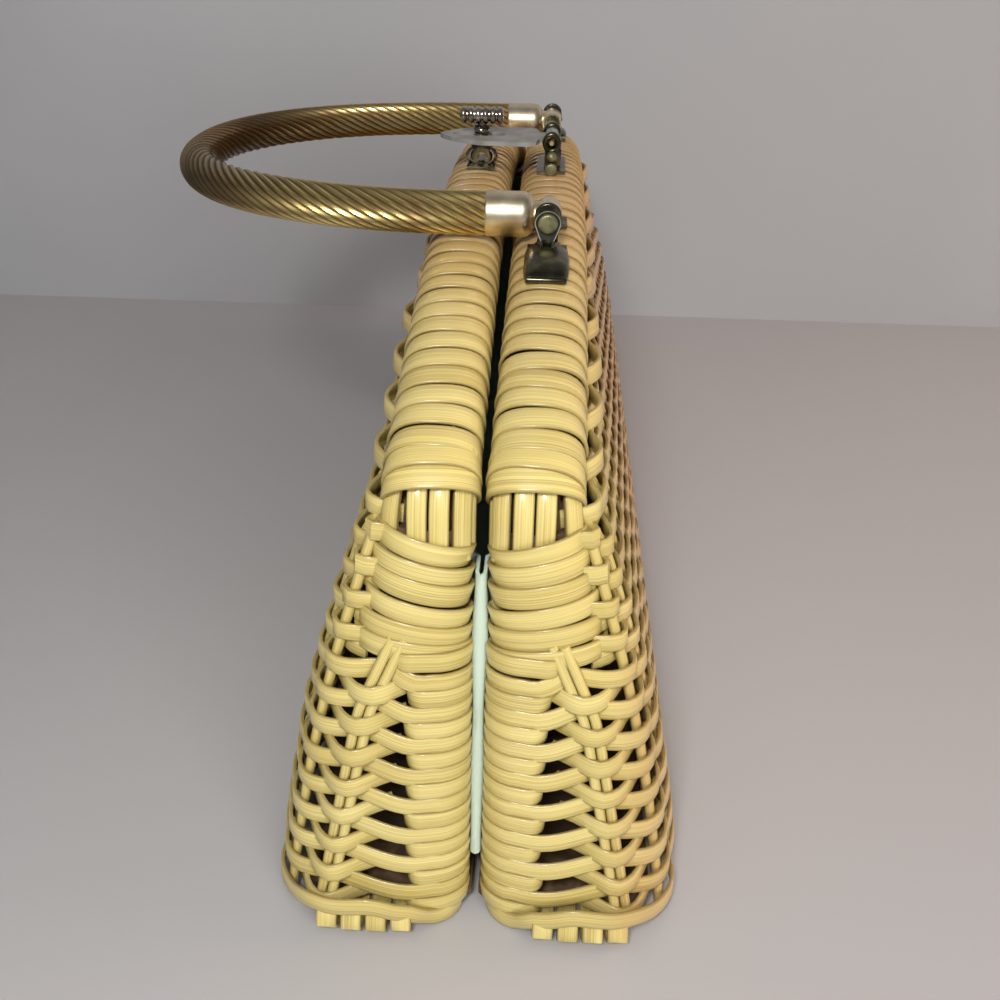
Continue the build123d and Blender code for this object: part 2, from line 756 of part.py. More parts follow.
def make_handle_bracket():
    """Two folded straps on the rail, an ear of each round the pin, one with a tongue."""
    straps = []
    outer_end = EAR_OUTER + EAR_THICKNESS + TONGUE_LENGTH
    inner_end = EAR_INNER - INNER_FOOT
    spans = (
        (EAR_OUTER, EAR_OUTER, outer_end),
        (EAR_INNER, inner_end, EAR_INNER + EAR_THICKNESS),
    )
    for ear_start, start, end in spans:
        place = seated(start, end)
        length = end - start
        strap = place * Pos(0, 0, PLATE_THICKNESS / 2) * Box(length, PLATE_WIDTH, PLATE_THICKNESS)
        drop = PIN_Z - rail_top(ear_start + EAR_THICKNESS / 2) - PLATE_THICKNESS
        face = Plane(origin=(ear_start, -PIN_Y, PIN_Z), x_dir=(0, 1, 0), z_dir=(1, 0, 0))
        outline = ear_outline(EAR_HALF_WIDTH, drop, PIN_RADIUS + PIN_FIT)
        straps.append(strap + extrude(face * outline, EAR_THICKNESS))
    place = seated(EAR_OUTER, outer_end)
    half = (outer_end - EAR_OUTER) / 2
    edge = PLATE_WIDTH / 2 - 0.6
    side = [(edge, 0), (edge * 0.7, TONGUE_HEIGHT * 0.7), (edge * 0.25, TONGUE_HEIGHT)]
    section = Plane.YZ * Polygon(*side, *[(-a, u) for a, u in reversed(side)], align=None)
    start = EAR_THICKNESS + 0.4 - half
    tongue = place * Pos(start, 0, PLATE_THICKNESS / 2) * extrude(
        section, TONGUE_LENGTH - TONGUE_FOOT
    )
    foot = place * Pos(half - TONGUE_FOOT / 2, 0, 0.8) * Box(TONGUE_FOOT, PLATE_WIDTH, 1.6)
    straps[0] = straps[0] + tongue + foot
    return straps


def make_pivot_pin():
    """Pin through the ears and the ferrule, with a head at its outer end."""
    start = EAR_INNER - 0.8
    end = EAR_OUTER + EAR_THICKNESS + RUNNING_GAP
    pin = Pos(start, -PIN_Y, PIN_Z) * Rot(0, 90, 0) * extrude(Circle(PIN_RADIUS), end - start)
    head = Pos(end, -PIN_Y, PIN_Z) * Rot(0, 90, 0) * extrude(
        RegularPolygon(PIN_HEAD_RADIUS, 12), PIN_HEAD_LENGTH
    )
    return pin + head


def make_stud():
    """Plate, loop, collar and bored post on the back rail."""
    seat = CREST + PLATE_LIFT
    plate = Pos(0, CLASP_Y, seat + PLATE_THICKNESS / 2) * Box(
        STUD_PLATE_LENGTH, STUD_PLATE_WIDTH, PLATE_THICKNESS
    )
    loop_z = seat + PLATE_THICKNESS / 2 + STUD_LOOP_RADIUS - 0.2
    side_on = Plane.YZ * (RegularPolygon(STUD_LOOP_RADIUS, 8) - RegularPolygon(STUD_LOOP_BORE, 8))
    loop = Pos(-STUD_LOOP_LENGTH / 2, CLASP_Y, loop_z) * extrude(side_on, STUD_LOOP_LENGTH)
    collar_top = hasp_pin_height() - HASP_THICKNESS / 2 - RUNNING_GAP
    low = loop_z + STUD_LOOP_BORE + 0.3
    collar = Pos(0, CLASP_Y, low) * extrude(
        RegularPolygon(STUD_COLLAR_RADIUS, 12), collar_top - low
    )
    top = CREST + BARREL_HEIGHT - BARREL_RADIUS - BARREL_ROOM
    post = Pos(0, CLASP_Y, low) * extrude(RegularPolygon(STUD_POST_RADIUS, 12), top - low)
    socket = Pos(0, CLASP_Y, top - SPIGOT_LENGTH - RUNNING_GAP) * extrude(
        Circle(SPIGOT_RADIUS + PIN_FIT), SPIGOT_LENGTH + 2
    )
    return plate + loop + collar + post - socket


def make_toggle():
    """Ribbed barrel that turns on the post, with the spigot that holds it there."""
    rings = []
    height = CREST + BARREL_HEIGHT
    pitch = BARREL_LENGTH / BARREL_RIBS
    steps = []
    for rib in range(BARREL_RIBS):
        start = -BARREL_LENGTH / 2 + rib * pitch
        steps += [(start, 0.55), (start + pitch * 0.3, 0), (start + pitch * 0.7, 0)]
    steps.append((BARREL_LENGTH / 2, 0.55))
    for at, shrink in steps:
        radius = BARREL_RADIUS - shrink
        ring = []
        for n in range(BARREL_SIDES):
            angle = 2 * pi * (n + 0.5) / BARREL_SIDES
            ring.append((radius * cos(angle), CLASP_Y + at, height + radius * sin(angle)))
        rings.append(ring)
    barrel = panelled(rings)
    low = height - BARREL_RADIUS - BARREL_ROOM - SPIGOT_LENGTH
    spigot = Pos(0, CLASP_Y, low) * extrude(Circle(SPIGOT_RADIUS), height - low)
    return barrel + spigot


def hasp_pin_height():
    return CREST + HASP_PIN_HEIGHT


def make_hasp():
    """Leaf-shaped plate with a slot for the barrel, on an eye round its pin."""
    origin = (0, -CLASP_Y, hasp_pin_height())
    half = HASP_WIDTH / 2
    tail = HASP_TAIL_WIDTH / 2
    outline = [
        (tail, 0),
        (tail, HASP_NECK),
        (half - 1.5, HASP_NECK + 1.0),
        (half, HASP_NECK + 3.0),
        (half, HASP_SHOULDER - 4),
        (half - 1.6, HASP_SHOULDER),
        (half * 0.55, HASP_REACH - 4.2),
        (half * 0.22, HASP_REACH - 1.0),
        (0, HASP_REACH),
    ]
    points = outline + [(-x, y) for x, y in outline[-2::-1]]
    low = HASP_THICKNESS / 2
    leaf = Pos(*origin) * Pos(0, 0, -low) * extrude(
        make_face(Polyline(*points, close=True)), HASP_THICKNESS
    )
    slot_middle = (SLOT_START + SLOT_END) / 2
    slot = Pos(*origin) * Pos(0, slot_middle, 0) * Rot(0, 0, 90) * extrude(
        SlotOverall(SLOT_END - SLOT_START, SLOT_WIDTH), 2 * HASP_THICKNESS, both=True
    )
    centre = Pos(*origin) * Rot(0, 90, 0)
    eye = Pos(*origin) * Pos(-tail, 0, 0) * extrude(
        Plane.YZ * RegularPolygon(HASP_EYE_RADIUS, 8), HASP_TAIL_WIDTH
    )
    bore = centre * Cylinder(HASP_PIN_RADIUS + PIN_FIT, 2 * HASP_TAIL_WIDTH)
    return leaf - slot + eye - bore


def make_hasp_bracket():
    """Plate with two ears on the front rail."""
    seat = CREST + PLATE_LIFT
    plate = Pos(0, -CLASP_Y, seat + PLATE_THICKNESS / 2) * Box(
        HASP_PLATE_LENGTH, HASP_PLATE_WIDTH, PLATE_THICKNESS
    )
    ears = []
    first = HASP_TAIL_WIDTH / 2 + RUNNING_GAP
    drop = hasp_pin_height() - seat - PLATE_THICKNESS / 2
    for start in (first, -first - EAR_THICKNESS):
        outline = ear_outline(HASP_PIN_RADIUS + 0.9, drop, HASP_PIN_RADIUS + PIN_FIT)
        face = Plane(
            origin=(start, -CLASP_Y, hasp_pin_height()), x_dir=(0, 1, 0), z_dir=(1, 0, 0)
        )
        ears.append(extrude(face * outline, EAR_THICKNESS))
    return plate + ears


def make_hasp_pin():
    """Pin through the hasp's eye, with a ball at each end."""
    reach = HASP_TAIL_WIDTH / 2 + RUNNING_GAP + EAR_THICKNESS + RUNNING_GAP
    centre = Pos(0, -CLASP_Y, hasp_pin_height())
    pin = centre * Rot(0, 90, 0) * Cylinder(HASP_PIN_RADIUS, 2 * reach + 1)
    ball = button(HASP_BALL_RADIUS, HASP_BALL_RADIUS)
    heads = [
        centre * Pos(side * (reach + 0.5), 0, 0) * Rot(0, 90 * side, 0) * ball
        for side in (-1, 1)
    ]
    return pin + heads


def button(radius, height):
    """Low eight-sided button, flat below and narrower above."""
    return extrude(RegularPolygon(radius, 8), height, taper=BUTTON_TAPER)


def make_clasp_nails(y, reach):
    """Nails at both ends of a clasp plate."""
    top = CREST + PLATE_LIFT + PLATE_THICKNESS
    return [Pos(side * reach, y, top) * button(NAIL_RADIUS, NAIL_HEIGHT) for side in (-1, 1)]


def mirrored(shapes):
    return [turned_over(shape) for shape in shapes]


def half_pieces():
    """Woven pieces of the back half by name."""
    return {
        "weave": [make_weave()],
        "stakes": make_stakes(),
        "top_binding": [make_top_binding()],
        "corner_strips": [s for strip in make_corner_strips() for s in both_ends(strip)],
        "neck_bindings": both_ends(make_neck_binding()),
        "end_posts": both_ends(make_end_post()),
        "base": [make_base()],
        "floor_reeds": make_floor_reeds(),
        "lining": [make_lining()],
    }


pieces = {}
for name, shapes in half_pieces().items():
    pieces["back_" + name] = shapes
    pieces["front_" + name] = mirrored(shapes)

pieces["gussets"] = both_ends(make_gusset())
pieces["back_hinge_leaves"] = make_hinge_leaves(-1)
pieces["front_hinge_leaves"] = mirrored(make_hinge_leaves(1))
pieces["hinge_pins"] = make_hinge_pins()
pieces["handle_tube"] = [make_handle_tube()]
pieces["handle_ferrules"] = make_ferrules()
bracket, pin = make_handle_bracket(), make_pivot_pin()
pieces["near_handle_bracket"] = [mirror(strap, about=Plane.YZ) for strap in bracket]
pieces["far_handle_bracket"] = bracket
pieces["handle_pins"] = both_ends(pin)
pieces["stud"] = [make_stud()]
pieces["stud_nails"] = make_clasp_nails(CLASP_Y, STUD_PLATE_LENGTH / 2 - 1.6)
pieces["toggle"] = [make_toggle()]
pieces["hasp"] = [make_hasp()]
pieces["hasp_bracket"] = [make_hasp_bracket()]
pieces["hasp_bracket_nails"] = make_clasp_nails(-CLASP_Y, HASP_PLATE_LENGTH / 2 - 1.6)
pieces["hasp_pin"] = [make_hasp_pin()]

# The whole is moved so that its origin is the middle of its footprint, on the floor.
whole = Compound(children=[Compound([s]) for group in pieces.values() for s in group])
bounds = whole.bounding_box()
shift = Pos(
    -(bounds.min.X + bounds.max.X) / 2,
    -(bounds.min.Y + bounds.max.Y) / 2,
    -bounds.min.Z,
)
os.makedirs("parts", exist_ok=True)
for name, shapes in pieces.items():
    solids = [solid for shape in shapes for solid in shape.solids()]
    moved = [shift * solid for solid in solids]
    export_step(moved[0] if len(moved) == 1 else Compound(moved), "parts/" + name + ".step")
print("shift", shift.position, "size", bounds.size)
print("pins", PIN_X, PIN_Y, PIN_Z, "clasp", CLASP_Y, CREST)
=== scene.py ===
"""Basket box bag: woven reed halves, cloth, a roped handle and a turn clasp, dressed over the fixed frame."""

import logging
from collections.abc import Callable
from dataclasses import dataclass, field
from enum import Enum
from math import atan2, cos, hypot, pi, radians, sin, tan

import bpy
import numpy as np
from mathutils import Matrix, Vector

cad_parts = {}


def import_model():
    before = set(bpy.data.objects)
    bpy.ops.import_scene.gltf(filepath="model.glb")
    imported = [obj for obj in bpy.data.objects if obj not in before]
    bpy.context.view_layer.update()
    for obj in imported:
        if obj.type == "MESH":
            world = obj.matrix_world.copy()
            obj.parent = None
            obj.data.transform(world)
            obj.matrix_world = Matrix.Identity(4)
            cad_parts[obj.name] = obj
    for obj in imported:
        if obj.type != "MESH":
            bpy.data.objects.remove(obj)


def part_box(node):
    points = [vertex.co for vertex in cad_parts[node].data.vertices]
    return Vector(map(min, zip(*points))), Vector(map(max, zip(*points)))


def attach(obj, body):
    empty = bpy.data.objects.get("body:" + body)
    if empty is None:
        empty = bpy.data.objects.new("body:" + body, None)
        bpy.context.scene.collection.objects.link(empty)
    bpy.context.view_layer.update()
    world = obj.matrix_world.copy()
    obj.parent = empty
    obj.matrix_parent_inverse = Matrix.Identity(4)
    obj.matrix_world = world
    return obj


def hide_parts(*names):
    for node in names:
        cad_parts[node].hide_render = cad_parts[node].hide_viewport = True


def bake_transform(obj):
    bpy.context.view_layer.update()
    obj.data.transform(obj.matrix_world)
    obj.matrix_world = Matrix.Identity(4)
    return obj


LOG = logging.getLogger("basket_bag")
MM = 0.001
UP = np.array([0.0, 0.0, 1.0])


class Side(Enum):
    """The two woven halves, and which way each lies from the gap between them."""

    BACK = 1
    FRONT = -1

    @property
    def prefix(self) -> str:
        """Start of the half's node and piece names."""
        return self.name.lower()

    @property
    def body(self) -> str:
        """Body that the half's pieces ride on."""
        return f"{self.prefix}_half"


class Tail(Enum):
    """The two ends of the bag."""

    NEAR = -1
    FAR = 1


def only(piece: bpy.types.Object) -> None:
    """Select one object alone and make it active.

    Args:
        piece: Object that the next operator acts on.
    """
    bpy.ops.object.select_all(action="DESELECT")
    piece.select_set(True)
    bpy.context.view_layer.objects.active = piece


def unit(vectors: np.ndarray) -> np.ndarray:
    """Scale each row to length one.

    Args:
        vectors: Rows of x, y, z.

    Returns:
        The rows with length one.
    """
    return vectors / np.maximum(np.linalg.norm(vectors, axis=-1, keepdims=True), 1e-12)


def eased(at: np.ndarray, knots: list[tuple[float, float]]) -> np.ndarray:
    """Smooth curve through knots, level at each of them.

    Args:
        at: Places to read.
        knots: Place and value pairs, in order of place.

    Returns:
        A value for each place.
    """
    places = np.array([knot[0] for knot in knots])
    values = np.array([knot[1] for knot in knots])
    index = np.clip(np.searchsorted(places, at) - 1, 0, len(places) - 2)
    share = np.clip((at - places[index]) / (places[index + 1] - places[index]), 0, 1)
    share = 0.5 - 0.5 * np.cos(pi * share)
    return values[index] + (values[index + 1] - values[index]) * share


# Shape of the bag


@dataclass(frozen=True)
class Basket:
    """Lines that the reeds follow, in metres, with the gap between the halves at y = 0."""

    gap_plane: float
    rail_length: float = 304.0 * MM
    end_height: float = 99.0 * MM
    arch_rise: float = 22.4 * MM
    end_flare: float = 18.7 * MM
    base_depth: float = 45.0 * MM
    shoulder_depth: float = 22.4 * MM
    shoulder_height: float = 90.0 * MM
    wall_bulge: float = 2.4 * MM
    end_bulge: float = 4.2 * MM
    rail_width: float = 18.9 * MM
    rail_thickness: float = 14.0 * MM
    gap_end: float = 0.6 * MM
    gap_middle: float = 1.6 * MM
    corner_radius: float = 14.0 * MM
    face_gap: float = 1.7 * MM
    foot_corner: float = 15.0 * MM
    head_corner: float = 9.0 * MM

    @property
    def rail_last(self) -> float:
        """Half the rail's length."""
        return self.rail_length / 2

    @property
    def flare(self) -> float:
        """Angle of the ends from upright."""
        return atan2(self.end_flare, self.end_height)

    def rail_top(self, x: float) -> float:
        """Height of the rail's crest at x."""
        return self.end_height + self.arch_rise * (1 - (x / self.rail_last) ** 2)

    def rail_tilt(self, x: float) -> float:
        """Angle of the rail's crest at x."""
        return atan2(-2 * self.arch_rise * x, self.rail_last**2)

    def rail_middle(self, x: float) -> float:
        """Distance of the rail's middle from the gap plane at x."""
        bow = (self.gap_middle - self.gap_end) * (1 - (x / self.rail_last) ** 2)
        return self.gap_end + bow + self.rail_width / 2

    def end_reach(self, z: float) -> float:
        """Outer face of an end at height z."""
        return self.rail_last + self.end_flare * (1 - z / self.end_height)

    def side_reach(self, z: float) -> float:
        """Outer face of the long side at height z."""
        share = min(z / self.shoulder_height, 1)
        return self.base_depth + (self.shoulder_depth - self.base_depth) * share + self.wall_bulge * sin(pi * share)

    def wall_corner(self, z: float) -> float:
        """Radius of the wall's outer corner at height z."""
        return self.foot_corner + (self.head_corner - self.foot_corner) * min(z / self.shoulder_height, 1)

    def swell(self, y: np.ndarray, z: float) -> np.ndarray:
        """How far the end face swells out at a distance from the gap."""
        share = np.clip(np.asarray(y) / self.side_reach(z), 0, 1)
        return self.end_bulge * max(1 - z / (1.25 * self.end_height), 0) * np.sin(pi * share)

    def plan(self, z: float) -> "Line":
        """Outer face at one height, from the near end's gap round to the far end's.

        Args:
            z: Height.

        Returns:
            The face's line in steps of about a millimetre.
        """
        reach_x, reach_y, radius = self.end_reach(z), self.side_reach(z), self.wall_corner(z)
        end = reach_y - radius - self.face_gap
        arc = pi / 2 * radius
        half_length = end + arc + reach_x - radius
        place = np.linspace(0, half_length, int(half_length / (1.1 * MM)))
        turn = np.clip((place - end) / radius, 0, pi / 2)
        x = reach_x - radius + radius * np.cos(turn) - np.maximum(place - end - arc, 0)
        y = np.where(place < end, self.face_gap + place, reach_y - radius + radius * np.sin(turn))
        x = x + self.swell(y, z)
        points = np.stack([-x, y, np.full_like(x, z)], 1)
        points = np.concatenate([points, (points * np.array([-1, 1, 1]))[-2::-1]])
        forward = unit(np.gradient(points, axis=0))
        ends = np.abs(points[:, 0]) > reach_x - radius
        slope = atan2(self.base_depth - self.shoulder_depth, self.shoulder_height)
        lean = np.where(ends, sin(self.flare), sin(slope))
        facing = unit(np.stack([-forward[:, 1], forward[:, 0], lean], 1))
        return Line(points, facing)

    def placed(self, points: np.ndarray, side: Side) -> np.ndarray:
        """Carry points of the back half's pattern to their half in the frame.

        Args:
            points: Rows of x, y, z with y measured from the gap plane.
            side: The half that they belong to.

        Returns:
            Rows of x, y, z in the frame.
        """
        return points * np.array([1, side.value, 1]) + np.array([0, self.gap_plane, 0])

    def turned(self, directions: np.ndarray, side: Side) -> np.ndarray:
        """Carry directions of the back half's pattern to their half."""
        return directions * np.array([1, side.value, 1])


@dataclass
class Line:
    """A reed's middle line with the direction that its face looks in at each point."""

    points: np.ndarray
    outward: np.ndarray

    def evenly(self, count: int) -> "Line":
        """Points at even steps along the line.

        Args:
            count: Number of steps.

        Returns:
            The same line in even steps.
        """
        run = self.places
        want = np.linspace(0, run[-1], count + 1)
        points = np.stack([np.interp(want, run, self.points[:, i]) for i in range(3)], 1)
        outward = np.stack([np.interp(want, run, self.outward[:, i]) for i in range(3)], 1)
        return Line(points, unit(outward))

    @property
    def places(self) -> np.ndarray:
        """Distance along the line of each of its points."""
        steps = np.linalg.norm(np.diff(self.points, axis=0), axis=1)
        return np.concatenate([[0.0], np.cumsum(steps)])

    @property
    def length(self) -> float:
        """Length along the line."""
        return float(self.places[-1])

    def placed(self, basket: Basket, side: Side) -> "Line":
        """The line on its own half of the bag."""
        return Line(basket.placed(self.points, side), basket.turned(self.outward, side))


# Reed stock


@dataclass
class Stock:
    """Straight reed modelled once for each number of steps, and laid along lines.

    The straight piece runs along x from -1 to 1, and its section fills -1 to 1 in y and z.
    """

    round_sides: int = 0
    edge_cut: float = 0.75
    edge_steps: int = 2
    edge_stretch: float = 4.5
    flutes: int = 0
    flute_depth: float = 0.07
    made: dict[int, bpy.types.Object] = field(default_factory=dict)

    def straight(self, steps: int) -> bpy.types.Object:
        """Model the straight piece with a number of steps along it.

        Args:
            steps: Steps along the piece.

        Returns:
            The straight piece, which is kept for copies.
        """
        if steps in self.made:
            return self.made[steps]
        bpy.ops.object.select_all(action="DESELECT")
        if self.round_sides or self.flutes:
            sides = self.round_sides or 4 * self.flutes
            bpy.ops.mesh.primitive_cylinder_add(
                vertices=sides, radius=1, depth=2, rotation=(0, pi / 2, 0)
            )
            bpy.ops.object.transform_apply(rotation=True)
        else:
            bpy.ops.mesh.primitive_cube_add(size=2)
        piece = bpy.context.active_object
        self._select_along(piece)
        if not self.round_sides and not self.flutes:
            self._stretch(self.edge_stretch)
            bpy.ops.object.mode_set(mode="EDIT")
            bpy.ops.mesh.bevel(offset=self.edge_cut, segments=self.edge_steps, affect="EDGES")
            bpy.ops.object.mode_set(mode="OBJECT")
            self._stretch(1 / self.edge_stretch)
        if self.flutes:
            self._press_flutes(piece)
        self._divide(piece, steps)
        piece.hide_render = True
        self.made[steps] = piece
        return piece

    def _stretch(self, factor: float) -> None:
        """Stretch the active piece's section, so that its rounded edges stay narrow."""
        chosen = [edge.select for edge in bpy.context.active_object.data.edges]
        bpy.ops.object.mode_set(mode="EDIT")
        bpy.ops.mesh.select_all(action="SELECT")
        bpy.ops.transform.resize(value=(1, factor, 1))
        bpy.ops.mesh.select_all(action="DESELECT")
        bpy.ops.object.mode_set(mode="OBJECT")
        for edge, select in zip(bpy.context.active_object.data.edges, chosen):
            edge.select = select

    def _select_along(self, piece: bpy.types.Object) -> None:
        """Select the edges that run along the piece."""
        only(piece)
        bpy.ops.object.mode_set(mode="EDIT")
        bpy.ops.mesh.select_mode(type="EDGE")
        bpy.ops.mesh.select_all(action="DESELECT")
        bpy.ops.object.mode_set(mode="OBJECT")
        vertices = piece.data.vertices
        for edge in piece.data.edges:
            start, end = (vertices[n].co for n in edge.vertices)
            edge.select = abs(end.x - start.x) > 0.01

    def _press_flutes(self, piece: bpy.types.Object) -> None:
        """Press a groove between each two strands of a roped section."""
        levels = (1.0, 1.0 - self.flute_depth * 0.45, 1.0 - self.flute_depth, 1.0 - self.flute_depth * 0.45)
        for vertex in piece.data.vertices:
            angle = atan2(vertex.co.z, vertex.co.y)
            corner = round(angle / (2 * pi) * 4 * self.flutes)
            vertex.co.yz = Vector((cos(angle), sin(angle))) * levels[corner % 4]

    def _divide(self, piece: bpy.types.Object, steps: int) -> None:
        """Divide the piece along its length by repeated subdivision."""
        left = steps
        while left > 1:
            cut = next((n for n in range(min(left, 60), 1, -1) if left % n == 0), left)
            self._select_along(piece)
            bpy.ops.object.mode_set(mode="EDIT")
            bpy.ops.mesh.subdivide(number_cuts=cut - 1)
            bpy.ops.object.mode_set(mode="OBJECT")
            left //= cut

    def lay(
        self,
        line: Line,
        steps: int,
        width: float | np.ndarray,
        thickness: float | np.ndarray,
        number: int = 0,
        turns: float = 0.0,
    ) -> bpy.types.Object:
        """Lay a copy of the straight piece along a line.

        Args:
            line: Middle line with outward directions.
            steps: Steps along the piece.
            width: Size across the face, one value or one for each point.
            thickness: Size through the face, one value or one for each point.
            number: Strand number, which sets the strand's place in the reed's pattern.
            turns: Twist of the section from end to end, in turns.

        Returns:
            The laid piece.
        """
        source = self.straight(steps)
        piece = source.copy()
        piece.data = source.data.copy()
        piece.hide_render = False
        bpy.context.collection.objects.link(piece)
        even = line.evenly(steps)
        forward = unit(np.gradient(even.points, axis=0))
        outward = unit(even.outward - forward * (even.outward * forward).sum(1, keepdims=True))
        across = np.cross(outward, forward)
        flat = np.empty(len(piece.data.vertices) * 3)
        piece.data.vertices.foreach_get("co", flat)
        local = flat.reshape(-1, 3)
        place = np.clip(np.rint((local[:, 0] + 1) / 2 * steps).astype(int), 0, steps)
        wide = np.broadcast_to(np.asarray(width, float) / 2, steps + 1)[place]
        thick = np.broadcast_to(np.asarray(thickness, float) / 2, steps + 1)[place]
        angle = 2 * pi * turns * place / steps
        side = local[:, 1] * np.cos(angle) - local[:, 2] * np.sin(angle)
        rise = local[:, 1] * np.sin(angle) + local[:, 2] * np.cos(angle)
        moved = (
            even.points[place]
            + across[place] * (side * wide)[:, None]
            + outward[place] * (rise * thick)[:, None]
        )
        piece.data.vertices.foreach_set("co", moved.ravel())
        self._write_pattern(piece, local, place, line.length / steps, number)
        piece.data.update()
        return piece

    def _write_pattern(
        self, piece: bpy.types.Object, local: np.ndarray, place: np.ndarray, step: float, number: int
    ) -> None:
        """Write the reed's own coordinates: metres along, and strand number plus share across."""
        loops = np.empty(len(piece.data.loops), dtype=int)
        piece.data.loops.foreach_get("vertex_index", loops)
        if self.flutes:
            share = np.arctan2(local[:, 2], local[:, 1]) / (2 * pi) * self.flutes
        else:
            share = number + 0.02 + 0.96 * (local[:, 1] + 1) / 2
        uv = np.stack([place[loops] * step, share[loops]], 1)
        layer = piece.data.uv_layers.active or piece.data.uv_layers.new()
        layer.data.foreach_set("uv", uv.ravel())

    def drop(self) -> None:
        """Remove the straight pieces once all copies are laid."""
        for piece in self.made.values():
            bpy.data.objects.remove(piece, do_unlink=True)
        self.made.clear()


FLAT_REED = Stock()
ROUND_REED = Stock(round_sides=10)
CORE = Stock(round_sides=20)
ROPE = Stock(flutes=16, flute_depth=0.11)


def joined(parts: list[bpy.types.Object], name: str) -> bpy.types.Object:
    """Join laid reeds into one smooth-shaded piece.

    Args:
        parts: The reeds.
        name: Name of the finished piece.

    Returns:
        The piece, with its normals outward.
    """
    bpy.ops.object.select_all(action="DESELECT")
    for part in parts:
        part.select_set(True)
    bpy.context.view_layer.objects.active = parts[0]
    if len(parts) > 1:
        bpy.ops.object.join()
    piece = bpy.context.active_object
    piece.name = name
    piece.data.name = name
    outward(piece)
    return piece


def outward(piece: bpy.types.Object, angle: float = radians(50)) -> None:
    """Turn a closed piece's faces outward and shade it smooth.

    Args:
        piece: The piece.
        angle: Edges sharper than this stay sharp.
    """
    only(piece)
    bpy.ops.object.mode_set(mode="EDIT")
    bpy.ops.mesh.select_all(action="SELECT")
    bpy.ops.mesh.normals_make_consistent(inside=False)
    bpy.ops.object.mode_set(mode="OBJECT")
    bpy.ops.object.shade_smooth_by_angle(angle=angle)


def rod(place: tuple, radius: float, length: float, axis: str, sides: int = 24) -> bpy.types.Object:
    """Turned rod with its place in its mesh.

    Args:
        place: Its middle.
        radius: Its radius.
        length: Its length.
        axis: Axis that it lies along.
        sides: Number of sides.

    Returns:
        The rod.
    """
    turn = {"X": (0, pi / 2, 0), "Y": (pi / 2, 0, 0), "Z": (0, 0, 0)}[axis]
    bpy.ops.object.select_all(action="DESELECT")
    bpy.ops.mesh.primitive_cylinder_add(
        vertices=sides, radius=radius, depth=length, location=place, rotation=turn
    )
    bpy.ops.object.transform_apply(location=True, rotation=True)
    return bpy.context.active_object


def ring(place: tuple, radius: float, thickness: float, turn: tuple, stretch: tuple = (1, 1, 1)) -> bpy.types.Object:
    """Round ring with its place in its mesh.

    Args:
        place: Its middle.
        radius: Radius of its middle line.
        thickness: Radius of its section.
        turn: Rotation from lying flat.
        stretch: Scale after the turn.

    Returns:
        The ring.
    """
    bpy.ops.object.select_all(action="DESELECT")
    bpy.ops.mesh.primitive_torus_add(
        major_segments=40, minor_segments=14, major_radius=radius, minor_radius=thickness, rotation=turn
    )
    bpy.ops.object.transform_apply(rotation=True)
    piece = bpy.context.active_object
    bpy.ops.object.mode_set(mode="EDIT")
    bpy.ops.mesh.select_all(action="SELECT")
    bpy.ops.transform.resize(value=stretch)
    bpy.ops.transform.translate(value=place)
    bpy.ops.object.mode_set(mode="OBJECT")
    return piece


def softened(piece: bpy.types.Object, size: float, steps: int = 3) -> bpy.types.Object:
    """Round a piece's sharp edges.

    Args:
        piece: The piece.
        size: Width of the rounding.
        steps: Steps of the rounding.

    Returns:
        The piece.
    """
    only(piece)
    bevel = piece.modifiers.new("rounding", "BEVEL")
    bevel.width = size
    bevel.segments = steps
    bevel.angle_limit = radians(40)
    bpy.ops.object.modifier_apply(modifier=bevel.name)
    return piece


# Shader values


@dataclass
class Value:
    """One shader socket that takes part in Python expressions."""

    shader: "Shader"
    socket: bpy.types.NodeSocket

    def _math(self, operation: str, first: object, second: object) -> "Value":
        """Add a Math node on two values."""
        return self.shader.node("Math", {"operation": operation}, [first, second])

    def __add__(self, other: object) -> "Value":
        """Sum."""
        return self._math("ADD", self, other)

    def __radd__(self, other: object) -> "Value":
        """Sum, with the value on the right."""
        return self._math("ADD", other, self)

    def __sub__(self, other: object) -> "Value":
        """Difference."""
        return self._math("SUBTRACT", self, other)

    def __rsub__(self, other: object) -> "Value":
        """Difference, with the value on the right."""
        return self._math("SUBTRACT", other, self)

    def __mul__(self, other: object) -> "Value":
        """Product."""
        return self._math("MULTIPLY", self, other)

    def __rmul__(self, other: object) -> "Value":
        """Product, with the value on the right."""
        return self._math("MULTIPLY", other, self)

    def __pow__(self, other: object) -> "Value":
        """Power."""
        return self._math("POWER", self, other)

    def whole(self) -> "Value":
        """Whole part."""
        return self._math("FLOOR", self, 0)

    def size(self) -> "Value":
        """Value without its sign."""
        return self._math("ABSOLUTE", self, 0)

    def step(self, low: float, high: float) -> "Value":
        """Smooth step from 0 at low to 1 at high."""
        settings = {"interpolation_type": "SMOOTHSTEP"}
        return self.shader.node("MapRange", settings, {"Value": self, "From Min": low, "From Max": high})


Colour = tuple[float, float, float]


